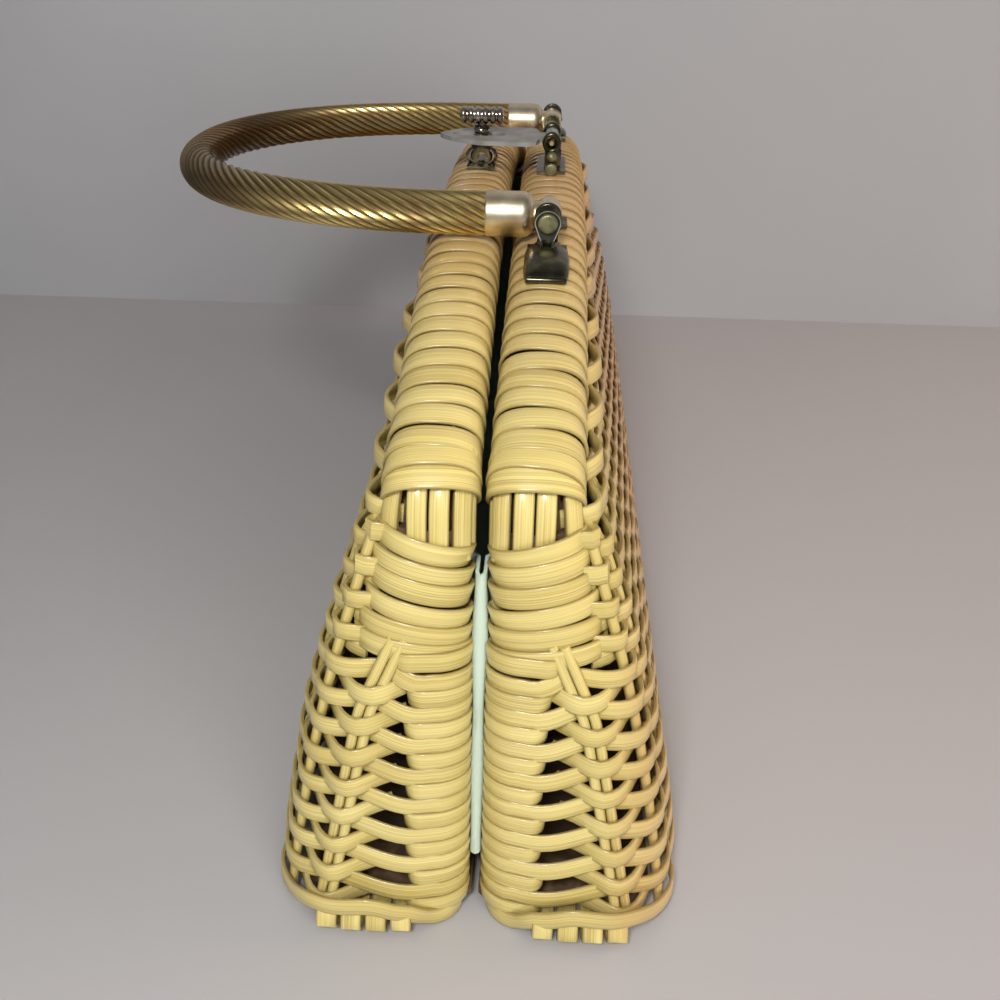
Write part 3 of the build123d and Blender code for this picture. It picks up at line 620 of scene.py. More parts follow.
class Shader:
    """Builds one node material around a Principled shader."""

    def __init__(self, name: str) -> None:
        """Start an empty material.

        Args:
            name: Name of the material.
        """
        self.material = bpy.data.materials.new(name)
        self.material.use_nodes = True
        self.tree = self.material.node_tree
        self.tree.nodes.clear()
        self.output = self.tree.nodes.new("ShaderNodeOutputMaterial")
        self.surface = self.tree.nodes.new("ShaderNodeBsdfPrincipled")
        self.tree.links.new(self.surface.outputs[0], self.output.inputs[0])

    def node(
        self,
        kind: str,
        settings: dict[str, object] | None = None,
        inputs: dict[str, object] | list[object] | None = None,
        output: str | int = 0,
    ) -> Value:
        """Add one node.

        Args:
            kind: Node type without its prefix.
            settings: Attributes, which are set first.
            inputs: Values or links by socket name, or in order.
            output: Socket that the result reads.

        Returns:
            The node's output as a value.
        """
        node = self.tree.nodes.new("ShaderNode" + kind)
        for key, value in (settings or {}).items():
            setattr(node, key, value)
        pairs = enumerate(inputs) if isinstance(inputs, list) else (inputs or {}).items()
        for key, value in pairs:
            self._feed(node.inputs[key], value)
        return Value(self, node.outputs[output])

    def _feed(self, socket: bpy.types.NodeSocket, value: object) -> None:
        """Link a value to a socket, or set the socket to a constant."""
        if isinstance(value, Value):
            self.tree.links.new(value.socket, socket)
        elif isinstance(value, tuple) and len(value) == 3 and socket.type == "RGBA":
            socket.default_value = (*value, 1.0)
        else:
            socket.default_value = value

    def mix(self, share: object, first: object, second: object, blend: str = "MIX") -> Value:
        """Blend two colours.

        Args:
            share: Part of the second colour.
            first: First colour.
            second: Second colour.
            blend: Blend mode.

        Returns:
            The blended colour.
        """
        node = self.tree.nodes.new("ShaderNodeMix")
        node.data_type = "RGBA"
        node.blend_type = blend
        self._feed(node.inputs[0], share)
        self._feed(node.inputs[6], first)
        self._feed(node.inputs[7], second)
        return Value(self, node.outputs[2])

    def place(self) -> tuple[Value, Value, Value]:
        """Object coordinates as three values."""
        return self.split(self.node("TexCoord", output="Object"))

    def split(self, vector: Value) -> tuple[Value, Value, Value]:
        """Separate a vector into three values."""
        node = self.tree.nodes.new("ShaderNodeSeparateXYZ")
        self.tree.links.new(vector.socket, node.inputs[0])
        return tuple(Value(self, node.outputs[i]) for i in range(3))

    def vector(self, x: object, y: object, z: object = 0.0) -> Value:
        """Combine three values into a vector."""
        return self.node("CombineXYZ", inputs=[x, y, z])

    def noise(self, vector: Value, scale: float = 1.0, detail: float = 2.0) -> Value:
        """Noise on a vector."""
        return self.node("TexNoise", inputs={"Vector": vector, "Scale": scale, "Detail": detail})

    def set(self, **sockets: object) -> None:
        """Feed the Principled shader.

        Args:
            sockets: Values by socket name, with underscores for spaces.
        """
        for key, value in sockets.items():
            self._feed(self.surface.inputs[key.replace("_", " ")], value)

    def bump(self, height: Value, strength: float, distance: float) -> None:
        """Raise the surface by a height value."""
        normal = self.node("Bump", inputs={"Strength": strength, "Distance": distance, "Height": height}, output="Normal")
        self.set(Normal=normal)


# Finishes


@dataclass(frozen=True)
class ReedFinish:
    """Varnished flat reed with fibres along it."""

    name: str
    pale: Colour = (0.71, 0.60, 0.24)
    deep: Colour = (0.50, 0.385, 0.115)
    # tan: colour of the painted warm shade towards the far end and on the front half's outer face.
    tan: Colour = (0.47, 0.265, 0.115)
    # Dark of the fibre lines, and painted shade at each band's edges, where the gaps between reeds lie in shade.
    shadow: Colour = (0.11, 0.065, 0.014)
    tan_amount: float = 0.7
    tan_start: float = -0.14
    tan_end: float = -0.02
    side_start: float = 1.0
    side_end: float = 1.1
    fibres: float = 15.0

    def build(self) -> bpy.types.Material:
        """Make the material.

        Returns:
            The reed material.
        """
        shader = Shader(self.name)
        along, strand, _ = shader.split(shader.node("TexCoord", output="UV"))
        number = strand.whole()
        across = strand - number
        offset = number * 7.31
        thread = shader.noise(shader.vector(along * 16 + offset, across * self.fibres + offset), 1.0, 3.0)
        line = shader.noise(shader.vector(along * 9 + offset, across * self.fibres * 2.1 - offset), 1.0, 1.0)
        band = shader.noise(shader.vector(along * 30 + offset, across * 1.5), 1.0, 1.0)
        tint = shader.node("TexWhiteNoise", {"noise_dimensions": "1D"}, {"W": number})
        x, y, z = shader.place()
        patch = shader.noise(shader.vector(x, y, z), 42.0, 2.0)
        tone = thread.step(0.36, 0.62) * 0.5 + tint * 0.3 + patch.step(0.35, 0.7) * 0.2 + (band - 0.5) * 0.5
        colour = shader.mix(tone, self.deep, self.pale)
        # Painted warm shade: darker tan from the near end towards the far end, and on the front half's outer face
        # (side_start to side_end).
        far = x.step(self.tan_start, self.tan_end) * self.tan_amount
        colour = shader.mix(far, colour, self.tan)
        outer = (0 - y).step(self.side_start, self.side_end) * 0.45
        colour = shader.mix(outer, colour, self.tan)
        colour = shader.mix(line.step(0.52, 0.62) * 0.32, colour, self.shadow)
        # Painted shade: each band darkens towards its edges, standing in for the shade in the gaps between reeds.
        rim = ((across - 0.5).size() * 2) ** 8
        colour = shader.mix(rim * 0.9, colour, self.shadow)
        crown = 1 - ((across - 0.5).size() * 2) ** 2
        shader.set(Base_Color=colour, Roughness=0.30 + thread * 0.16, Coat_Weight=0.45, Coat_Roughness=0.15)
        shader.bump(crown * 0.9 + thread * 0.12 - line.step(0.54, 0.64) * 0.07, 0.5, 0.35 * MM)
        return shader.material


@dataclass(frozen=True)
class PlainFinish:
    """One colour with a little uneven tone, for cores, metal and cloth."""

    name: str
    colour: Colour
    dark: Colour
    metallic: float = 0.0
    roughness: float = 0.5
    grain: float = 220.0
    depth: float = 0.0
    rim_x: float = 0.0

    def build(self) -> bpy.types.Material:
        """Make the material.

        Returns:
            The plain material.
        """
        shader = Shader(self.name)
        x, y, z = shader.place()
        cloud = shader.noise(shader.vector(x, y, z), self.grain, 3.0)
        share = x.size().step(self.rim_x - 0.2 * MM, self.rim_x) if self.rim_x else cloud.step(0.38, 0.66)
        colour = shader.mix(share, self.dark, self.colour)
        shader.set(Base_Color=colour, Metallic=self.metallic, Roughness=self.roughness + cloud * 0.12)
        if self.depth:
            shader.bump(cloud, 0.3, self.depth)
        return shader.material


@dataclass(frozen=True)
class RopeFinish:
    """Gilt strands with dark grooves, with a dark reflection painted towards the bend and a copper reflection painted
    towards the far end.
    """

    name: str
    gold: Colour = (0.86, 0.68, 0.28)
    # copper: random tone, and a painted warm reflection towards the far end.
    copper: Colour = (0.62, 0.30, 0.14)
    # Painted dark reflection towards the bend.
    bronze: Colour = (0.20, 0.13, 0.08)
    groove: Colour = (0.05, 0.03, 0.015)

    def build(self) -> bpy.types.Material:
        """Make the material.

        Returns:
            The rope material.
        """
        shader = Shader(self.name)
        _, strand, _ = shader.split(shader.node("TexCoord", output="UV"))
        share = strand - strand.whole()
        groove = 1.0 - ((share - 0.5).size() * 2).step(0.0, 0.85)
        x, y, z = shader.place()
        cloud = shader.noise(shader.vector(x, y, z), 90.0, 3.0)
        # Painted reflection: dark towards the bend, copper towards the far end.
        bend = y.step(0.015, 0.062)
        colour = shader.mix(cloud.step(0.45, 0.75) * 0.5, self.gold, self.copper)
        colour = shader.mix(bend * 0.85, colour, self.bronze)
        far = x.step(-0.02, 0.05) * 0.15
        colour = shader.mix(far, colour, self.copper)
        colour = shader.mix(groove * 0.8, colour, self.groove)
        shader.set(Base_Color=colour, Metallic=1.0, Roughness=0.26 + groove * 0.25)
        return shader.material


@dataclass(frozen=True)
class ClothFinish:
    """Plain woven cloth on the piece's own coordinates."""

    name: str
    colour: Colour = (0.50, 0.59, 0.50)
    dark: Colour = (0.36, 0.44, 0.37)
    # Painted shade: dark colour of the lining's face against the reed wall, seen through the gaps of the weave.
    backing: Colour = (0.060, 0.038, 0.020)
    threads: float = 1400.0

    def build(self) -> bpy.types.Material:
        """Make the material.

        Returns:
            The cloth material.
        """
        shader = Shader(self.name)
        mark, along, _ = shader.split(shader.node("TexCoord", output="UV"))
        # Painted shade: faces whose mark is moved past 2 show the dark shade colour.
        behind = mark.step(2.0, 3.0)
        across = mark
        warp = shader.node("Math", {"operation": "SINE"}, [across * (2 * pi * self.threads), 0.0])
        weft = shader.node("Math", {"operation": "SINE"}, [along * (2 * pi * self.threads), 0.0])
        weave = (warp * weft) * 0.5 + 0.5
        x, y, z = shader.place()
        cloud = shader.noise(shader.vector(x, y, z), 60.0, 3.0)
        colour = shader.mix(weave * 0.25 + cloud * 0.4, self.colour, self.dark)
        colour = shader.mix(behind, colour, self.backing)
        shader.set(Base_Color=colour, Roughness=0.85)
        shader.bump(weave, 0.25, 0.15 * MM)
        return shader.material


def dress(piece: bpy.types.Object, material: bpy.types.Material) -> None:
    """Give a piece one material.

    Args:
        piece: The piece.
        material: Its material.
    """
    piece.data.materials.clear()
    piece.data.materials.append(material)


def finish_piece(
    piece: bpy.types.Object, material: bpy.types.Material, body: str, slot: str, *nodes: str
) -> bpy.types.Object:
    """Dress a piece, attach it to its body and hide the nodes that it stands for.

    Args:
        piece: The piece.
        material: Its material.
        body: Body that it rides on.
        slot: Not used.
        nodes: CAD nodes that it replaces.

    Returns:
        The piece.
    """
    dress(piece, material)
    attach(piece, body)
    if nodes:
        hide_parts(*nodes)
    LOG.info("%s: %d faces", piece.name, len(piece.data.polygons))
    return piece


# Woven halves


@dataclass
class Half:
    """One woven half: rail, corners, necks, posts, rows, stakes and floor reeds."""

    basket: Basket
    side: Side
    reed: bpy.types.Material
    core: bpy.types.Material
    wrap_pitch: float = 6.1 * MM
    wrap_width: float = 6.5 * MM
    corner_wraps: tuple[float, ...] = (0.07, 0.36)
    reed_thickness: float = 0.85 * MM
    neck_wraps: int = 5
    neck_head: float = 85.2 * MM
    neck_foot: float = 64.0 * MM
    neck_head_width: float = 18.4 * MM
    neck_foot_width: float = 23.4 * MM
    neck_front: float = 7.2 * MM
    neck_back: float = 3.0 * MM
    neck_tilt: float = radians(13)
    post_width: float = 12.4 * MM
    post_turn: float = 6.2 * MM
    post_front: float = 4.6 * MM
    row_pitch: float = 3.5 * MM
    row_width: float = 4.25 * MM
    first_row: float = 2.9 * MM
    hinge_room: float = 1.1 * MM
    stake_radius: float = 1.15 * MM
    stake_pitch: float = 15.6 * MM
    pair_space: float = 2.45 * MM
    pair_top_y: float = 22.9 * MM
    pair_top_z: float = 50.5 * MM
    pair_slope: float = 0.203
    corner_strips: int = 4
    strip_width: float = 3.9 * MM
    floor_reeds: int = 4
    floor_reed_pitch: float = 4.3 * MM
    floor_reed_start: float = 16.0 * MM
    floor_turn: tuple[tuple[float, float], ...] = (
        (-0.5, 0.55),
        (1.2, 0.85),
        (2.2, 1.5),
        (2.5, 2.6),
        (2.3, 3.8),
        (1.5, 5.2),
        (0.5, 6.7),
    )

    def __post_init__(self) -> None:
        """Seed the half's small irregularities."""
        self.chance = np.random.default_rng(7 + self.side.value)
        self.number = 0

    def build(self) -> None:
        """Build and dress every piece of the half."""
        self.build_rail()
        self.build_corners()
        self.build_necks()
        self.build_posts()
        self.build_rows()
        self.build_stakes()
        self.build_floor_reeds()

    def _next(self) -> int:
        """Number of the next strand."""
        self.number += 1
        return self.number

    def _lay(self, line: Line, steps: int, width: float, thickness: float, stock: Stock = FLAT_REED) -> bpy.types.Object:
        """Lay one reed of this half."""
        return stock.lay(line.placed(self.basket, self.side), steps, width, thickness, self._next())

    def _finish(self, parts: list[bpy.types.Object], name: str, *nodes: str) -> bpy.types.Object:
        """Join reeds into one dressed piece of this half."""
        piece = joined(parts, f"{self.side.prefix}_{name}")
        names = [f"{self.side.prefix}_{node}" for node in nodes]
        return finish_piece(piece, self.reed, self.side.body, "reed", *names)

    def _oval(
        self,
        centre: np.ndarray,
        wide: np.ndarray,
        high: np.ndarray,
        power: float,
        shift: np.ndarray,
        back: float = 1.0,
    ) -> Line:
        """Reed once round a squared oval.

        Args:
            centre: Middle of the oval.
            wide: Half its width, as a vector.
            high: Half its height, as a vector.
            power: 2 for a plain oval, more for a squarer one.
            shift: How far the reed's end is moved from its start.
            back: Height of the hidden half, as a share of the shown half's.

        Returns:
            The reed's line.
        """
        angle = -pi / 2 + np.linspace(0, 2 * pi, 73)
        across = np.sign(np.cos(angle)) * np.abs(np.cos(angle)) ** (2 / power)
        rise = np.sign(np.sin(angle)) * np.abs(np.sin(angle)) ** (2 / power)
        rise = np.where(rise < 0, rise * back, rise)
        share = np.linspace(-0.5, 0.5, 73)[:, None]
        points = centre + across[:, None] * wide + rise[:, None] * high + share * shift
        facing_across = np.sign(across) * np.abs(across) ** (power - 1) / np.linalg.norm(wide)
        facing_rise = np.sign(rise) * np.abs(rise) ** (power - 1) / np.linalg.norm(high)
        facing = facing_across[:, None] * unit(wide) + facing_rise[:, None] * unit(high)
        return Line(points, unit(facing))

    def build_rail(self) -> None:
        """Wrap the arched top rail and the start of both corners."""
        basket = self.basket
        turn = pi / 2 + basket.rail_tilt(basket.rail_last) - basket.flare
        last = basket.rail_last - basket.corner_radius * tan(turn / 2) * 0.98 - self.wrap_pitch / 2
        count = round(2 * last / self.wrap_pitch)
        pitch = 2 * last / count
        parts = []
        for wrap in range(count + 1):
            x = -last + wrap * pitch + self.chance.uniform(-0.3, 0.3) * MM
            tilt = basket.rail_tilt(x)
            upward = np.array([-sin(tilt), 0, cos(tilt)])
            forward = np.array([cos(tilt), 0, sin(tilt)])
            crest = np.array([x, basket.rail_middle(x), basket.rail_top(x)])
            parts.append(self._wrap(crest, upward, forward, pitch))
        for tail in Tail:
            bend = self._bend(basket.rail_middle(basket.rail_last), 0.9 * MM, 0, 0, tail)
            arc = bend.evenly(100)
            for share in self.corner_wraps:
                index = int(100 * share)
                forward = unit(np.gradient(arc.points, axis=0))[index]
                parts.append(self._wrap(arc.points[index], arc.outward[index], forward * tail.value, pitch))
        self._finish(parts, "rail_wraps", "top_binding")
        xs = np.linspace(-last, last, 41)
        points = np.array(
            [[x, basket.rail_middle(x), basket.rail_top(x) - basket.rail_thickness / 2] for x in xs]
        )
        line = Line(points, np.tile(UP, (41, 1)))
        width = basket.rail_width - 3.2 * MM
        core = self._lay(line, 40, width, basket.rail_thickness - 3.2 * MM, CORE)
        core = joined([core], f"{self.side.prefix}_rail_core")
        finish_piece(core, self.core, self.side.body, "reed")

    def _wrap(self, crest: np.ndarray, upward: np.ndarray, forward: np.ndarray, pitch: float) -> bpy.types.Object:
        """One reed wrapped round the rail.

        Args:
            crest: Place on the rail's outer face.
            upward: Direction away from the rail there.
            forward: Direction along the rail.
            pitch: Distance to the next wrap.

        Returns:
            The wrap.
        """
        basket = self.basket
        inset = self.reed_thickness / 2
        lean = self.chance.uniform(-0.05, 0.05)
        wide = (np.array([0, 1, 0]) + forward * lean) * (basket.rail_width / 2 - inset)
        high = upward * (basket.rail_thickness / 2 - inset)
        line = self._oval(crest - upward * basket.rail_thickness / 2, wide, high, 2.5, forward * pitch * 0.5)
        line.outward = unit(line.outward + forward * 0.09)
        width = self.wrap_width + self.chance.uniform(-0.3, 0.1) * MM
        return self._lay(line, 36, width, self.reed_thickness)

    def _bend(self, y: float, rise: float, before: float, after: float, tail: Tail) -> Line:
        """Line over the corner from the rail down to the neck.

        Args:
            y: Distance from the gap plane.
            rise: Height over the strips' own surface.
            before: Length along the rail.
            after: Length down the neck.
            tail: The end that it is on.

        Returns:
            The line.
        """
        basket = self.basket
        slope = basket.rail_tilt(basket.rail_last)
        turn = pi / 2 + slope - basket.flare
        radius = basket.corner_radius
        corner = np.array([basket.rail_last, y, basket.end_height - 0.9 * MM])
        start = corner - np.array([cos(slope), 0, sin(slope)]) * radius * tan(turn / 2)
        centre = start + np.array([sin(slope), 0, -cos(slope)]) * radius
        points, facing = [], []
        first = -4 if before else 0
        last = 16 if after else 12
        for step in range(first, last + 1):
            angle = slope - turn * min(max(step, 0), 12) / 12
            out = np.array([-sin(angle), 0, cos(angle)])
            along = np.array([cos(angle), 0, sin(angle)])
            run = before * min(step, 0) / 4 + after * max(step - 12, 0) / 4
            points.append(centre + out * (radius + rise) + along * run)
            facing.append(out)
        line = Line(np.array(points), np.array(facing))
        line.points[:, 0] *= tail.value
        line.outward[:, 0] *= tail.value
        return line

    def build_corners(self) -> None:
        """Lay the flat strips over both corners, with a core under them."""
        parts, cores = [], []
        basket = self.basket
        pitch = self.strip_width + 0.3 * MM
        middle = basket.rail_middle(basket.rail_last)
        half_width = basket.rail_width / 2 - 1.6 * MM
        for tail in Tail:
            for n in range(self.corner_strips):
                off = (n - (self.corner_strips - 1) / 2) * pitch
                share = abs(off) / half_width
                drop = (1 - (1 - share**2.3) ** 0.43) * 5.4 * MM
                drop += self.chance.uniform(0, 0.35) * MM
                line = self._bend(middle + off, -0.75 * MM - drop, 7 * MM, 8 * MM, tail)
                roll = np.sign(off) * max(share - 0.4, 0) * 1.6
                line.outward = unit(line.outward + np.array([0, roll, 0]))
                if n == self.corner_strips - 1:
                    slant = np.linspace(-0.6, 1.5, len(line.points)) * MM
                    line.points[:, 1] += slant
                parts.append(self._lay(line, 28, self.strip_width, self.reed_thickness * 1.4))
            for n, off in enumerate((-1, 1)):
                line = self._bend(middle + off * half_width * 0.96, -6.0 * MM, 5 * MM, 6 * MM, tail)
                parts.append(self._lay(line, 28, 2.6 * MM, 2.2 * MM, ROUND_REED))
            line = self._bend(middle, -6.6 * MM, 6 * MM, 8 * MM, tail)
            width = basket.rail_width - 5.2 * MM
            cores.append(self._lay(line, 12, width, 7.6 * MM, CORE))
        self._finish(parts, "corner_reeds", "corner_strips")
        core = joined(cores, f"{self.side.prefix}_corner_core")
        finish_piece(core, self.core, self.side.body, "reed")

    def neck_width(self, z: float) -> float:
        """Width of the neck at height z."""
        share = (self.neck_head - z) / (self.neck_head - self.neck_foot)
        return self.neck_head_width + (self.neck_foot_width - self.neck_head_width) * min(max(share, 0), 1)

    def build_necks(self) -> None:
        """Wrap both necks under the corners."""
        basket = self.basket
        parts, cores = [], []
        pitch = (self.neck_head - self.neck_foot) / self.neck_wraps
        lean = np.array([-sin(basket.flare), 0, cos(basket.flare)])
        face = np.array([cos(basket.flare), 0, sin(basket.flare)])
        for tail in Tail:
            mirror = np.array([tail.value, 1, 1])
            for wrap in range(self.neck_wraps + 1):
                z = self.neck_head - pitch * wrap + self.chance.uniform(-0.35, 0.35) * MM
                width = self.neck_width(z) + self.chance.uniform(-0.4, 0.4) * MM
                middle = basket.face_gap + width / 2
                swell = float(basket.swell(middle, z)) * 0.5
                centre = np.array([basket.end_reach(z) + swell + 0.5 * MM, middle, z]) - face * self.neck_front
                tilt = self.neck_tilt * (1 - 0.09 * wrap) + self.chance.uniform(-0.035, 0.035)
                wide = np.array([0, 1, 0]) * cos(tilt) + lean * sin(tilt)
                line = self._oval(
                    centre,
                    wide * (width / 2 / cos(tilt) - self.reed_thickness / 2),
                    face * self.neck_front,
                    2.0,
                    lean * pitch * -0.5,
                    self.neck_back / self.neck_front,
                )
                line.outward = unit(line.outward - lean * 0.13)
                line.points *= mirror
                line.outward *= mirror
                band = pitch * 1.16 + self.chance.uniform(-0.35, 0.15) * MM
                parts.append(self._lay(line, 44, band, self.reed_thickness))
            heights = np.linspace(self.neck_foot - 2 * MM, self.neck_head + 2 * MM, 9)
            points = np.array(
                [
                    [tail.value * (basket.end_reach(z) - 5 * MM), basket.face_gap + self.neck_width(z) / 2, z]
                    for z in heights
                ]
            )
            facing = np.tile(np.array([tail.value, 0.0, 0.2]), (9, 1))
            cores.append(self._lay(Line(points, facing), 8, 13.5 * MM, 7.6 * MM, CORE))
        self._finish(parts, "neck_wraps", "neck_bindings")
        core = joined(cores, f"{self.side.prefix}_neck_core")
        finish_piece(core, self.core, self.side.body, "reed")

    def _end_line(self, tail: Tail, z: float, stations: list[tuple[float, float]]) -> Line:
        """Reed across an end face.

        Args:
            tail: The end.
            z: Its height.
            stations: Distance from the gap plane and height over the face, in order.

        Returns:
            The line, facing away from the end.
        """
        places = np.array(stations)
        basket = self.basket
        reach = basket.end_reach(z) + basket.swell(places[:, 0], z)
        face = np.array([cos(basket.flare), 0, sin(basket.flare)])
        points = np.stack([reach, places[:, 0], np.full(len(places), z)], 1) + places[:, 1:2] * face
        steps = np.gradient(places, axis=0)
        normal = unit(np.stack([-steps[:, 1], steps[:, 0]], 1))
        facing = normal[:, 0:1] * np.array([0, 1, 0]) + normal[:, 1:2] * face
        mirror = np.array([tail.value, 1, 1])
        return Line(points * mirror, unit(facing - UP * 0.12) * mirror)

    def _post_stations(self) -> list[tuple[float, float]]:
        """Stations round the post's edge at the gap, from inside to its outer face."""
        middle = self.basket.face_gap + self.post_turn
        edge = [
            (middle + self.post_turn * cos(a), self.post_front * (sin(a) - 1))
            for a in np.linspace(1.5 * pi, pi / 2, 17)
        ]
        return [(middle + 2.5 * MM, -2 * self.post_front)] + edge

    def _short_band(self, z: float, far_edge: float, tail: Tail) -> bpy.types.Object:
        """Short band round the post alone.

        Args:
            z: Its height.
            far_edge: Distance from the gap plane where it turns in.
            tail: The end.

        Returns:
            The band.
        """
        turn = 3.6 * MM
        stations = self._post_stations()
        if far_edge - turn > stations[-1][0] + 0.5 * MM:
            stations += [(far_edge - turn, 0.0)]
        stations += [
            (far_edge - turn + turn * sin(a), turn * (cos(a) - 1)) for a in np.linspace(0.25, pi * 0.56, 8)
        ]
        line = self._end_line(tail, z, stations)
        return self._lay(line, 40, self.row_width + 0.1 * MM, self.reed_thickness)

    def build_posts(self) -> None:
        """Wrap the posts of the rim with the short bands between the long rows."""
        parts, cores = [], []
        basket = self.basket
        for tail in Tail:
            for row, z in enumerate(self.row_heights()):
                if z > self.neck_foot - 3 * MM:
                    break
                if row % 2:
                    far_edge = basket.face_gap + self.post_width + self.chance.uniform(-0.6, 0.6) * MM
                    parts.append(self._short_band(z - 1.0 * MM, far_edge, tail))
            parts.append(self._short_band(self.neck_foot - 1.6 * MM, basket.face_gap + 15 * MM, tail))
            heights = np.linspace(3 * MM, self.neck_foot, 13)
            reach = [basket.end_reach(z) + float(basket.swell(8 * MM, z)) - 4.2 * MM for z in heights]
            middle = basket.face_gap + self.post_width / 2
            points = np.array([[tail.value * r, middle, z] for r, z in zip(reach, heights)])
            facing = np.tile(np.array([tail.value, 0.0, 0.2]), (13, 1))
            cores.append(self._lay(Line(points, facing), 12, 8.6 * MM, 5.2 * MM, CORE))
        self._finish(parts, "post_wraps", "end_posts")
        core = joined(cores, f"{self.side.prefix}_post_core")
        finish_piece(core, self.core, self.side.body, "reed")

    def row_heights(self) -> list[float]:
        """Heights of the woven rows from the floor up."""
        top = self.basket.end_height + self.basket.arch_rise - 0.5 * self.basket.rail_thickness
        return [self.first_row + n * self.row_pitch for n in range(int((top - self.first_row) / self.row_pitch))]

    def stake_places(self) -> list[float]:
        """Where the single stakes stand along the long side."""
        reach = self.basket.rail_last - 4 * MM
        count = round(2 * reach / self.stake_pitch)
        return [-reach + 2 * reach * n / count for n in range(count + 1)]

    def pair_y(self, z: float) -> float:
        """Distance of the paired stakes from the gap plane at height z."""
        if z > self.pair_top_z:
            return self.pair_top_y - (z - self.pair_top_z) * 0.45
        return self.pair_top_y + self.pair_slope * (self.pair_top_z - z)

    def build_rows(self) -> None:
        """Weave the rows round the stakes, over and under by turns."""
        rows = [self._row(row, z) for row, z in enumerate(self.row_heights())]
        self._finish([piece for piece in rows if piece], "woven_rows", "weave")

    def _row(self, row: int, z: float) -> bpy.types.Object | None:
        """One row of the weave, over the paired stakes where its number is odd.

        Args:
            row: Number of the row from the floor.
            z: Its height.

        Returns:
            The row's reed, or None where it is too short.
        """
        basket = self.basket
        line = basket.plan(z)
        place = line.places
        total = place[-1]
        half = len(place) // 2
        high, low = self.reed_thickness * 0.75, -2 * self.stake_radius - self.reed_thickness * 0.4
        over_pair = row % 2 == 1
        beside_neck = z > self.neck_foot - 3 * MM

        def reached(y: float) -> float:
            """Place where the near half of the row is at a distance from the gap plane."""
            return float(np.interp(y, line.points[:half, 1], place[:half]))

        corner = reached(basket.side_reach(z) - basket.wall_corner(z) * 0.22)
        if beside_neck:
            start = reached(basket.face_gap + self.neck_width(z) - 1.5 * MM)
            knots = [(start, low * 1.3), (corner, low if over_pair else high)]
            lifts = [(start, 0.0), (corner, 0.0)]
        elif over_pair:
            pair = reached(self.pair_y(z))
            start = reached(self.pair_y(z) - 10.5 * MM)
            knots = [(start, -5 * MM), (start + 2 * MM, low * 1.6), (pair, high), (corner, low)]
            lifts = [(start, 1.2 * MM), (pair - 4 * MM, 0.4 * MM), (pair, -0.3 * MM), (corner, 0.9 * MM)]
        else:
            pair = reached(self.pair_y(z))
            start = reached(basket.face_gap + self.post_turn)
            knots = [(start, 0.0), (start + 4 * MM, 0.0), (pair, low), (corner, high)]
            lifts = [(start, -1.0 * MM), (start + 3 * MM, -1.2 * MM), (pair, 1.2 * MM), (corner, 0.0)]
        if row == 0:
            knots = [(start, 0.0), (start + 5 * MM, 1.7 * MM), (pair - 4 * MM, 1.9 * MM), (corner, high)]
            lifts = [(start, -0.4 * MM), (start + 7 * MM, 3.4 * MM), (start + 14 * MM, 5.6 * MM)]
            lifts += [(pair - 2 * MM, 4.6 * MM), (corner, 0.9 * MM)]
        first_side = reached(basket.side_reach(z) - 0.2 * MM)
        sides = []
        for n, x in enumerate(self.stake_places()):
            at = total / 2 + x
            if not first_side - 3 * MM < at < total - first_side + 3 * MM:
                continue
            sides.append((at, high if (n % 2 == 0) == over_pair else low))
        every = knots + sides + [(total - at, value) for at, value in reversed(knots)]
        rise = lifts + [(total - at, value) for at, value in reversed(lifts)]
        wave = self.chance.uniform(-0.15, 0.15) * MM
        line.points = line.points + line.outward * (eased(place, every) + wave)[:, None]
        line.points[:, 2] += eased(place, rise)
        kept = (place >= start) & (place <= total - start)
        crest = z + basket.rail_thickness * 0.62
        if crest > basket.end_height:
            limit = basket.rail_last * max(1 - (crest - basket.end_height) / basket.arch_rise, 0) ** 0.5
            kept &= np.abs(line.points[:, 0]) <= limit
            fade = np.clip((limit - np.abs(line.points[:, 0])) / (9 * MM), 0, 1)
            line.points[:, 1] -= (1 - fade) ** 2 * 3.4 * MM
        line = Line(line.points[kept], unit(line.outward[kept] - UP * 0.1))
        if len(line.points) < 12:
            return None
        if not beside_neck and not over_pair:
            line = self._with_post_turns(line, z - 1.0 * MM, self.hinge_room if row == 0 else 0.0)
            line.points[:, 2] = np.maximum(line.points[:, 2], self.row_width * 0.52)
        steps = 4 * max(int(line.length / (1.85 * MM) / 4), 2)
        width = self.row_width + self.chance.uniform(-0.25, 0.2) * MM
        return self._lay(line, steps, width, self.reed_thickness)

    def _with_post_turns(self, line: Line, z: float, room: float) -> Line:
        """Add the turns round the posts to both ends of a long row.

        Args:
            line: The row's line between the posts.
            z: Height of the turns.
            room: Extra distance from the gap plane.

        Returns:
            The line with its turns.
        """
        stations = [(y + room, rise) for y, rise in self._post_stations()[:-1]]
        near = self._end_line(Tail.NEAR, z, stations)
        far = self._end_line(Tail.FAR, z, stations)
        points = np.concatenate([near.points, line.points, far.points[::-1]])
        facing = np.concatenate([near.outward, line.outward, far.outward[::-1]])
        return Line(points, facing)

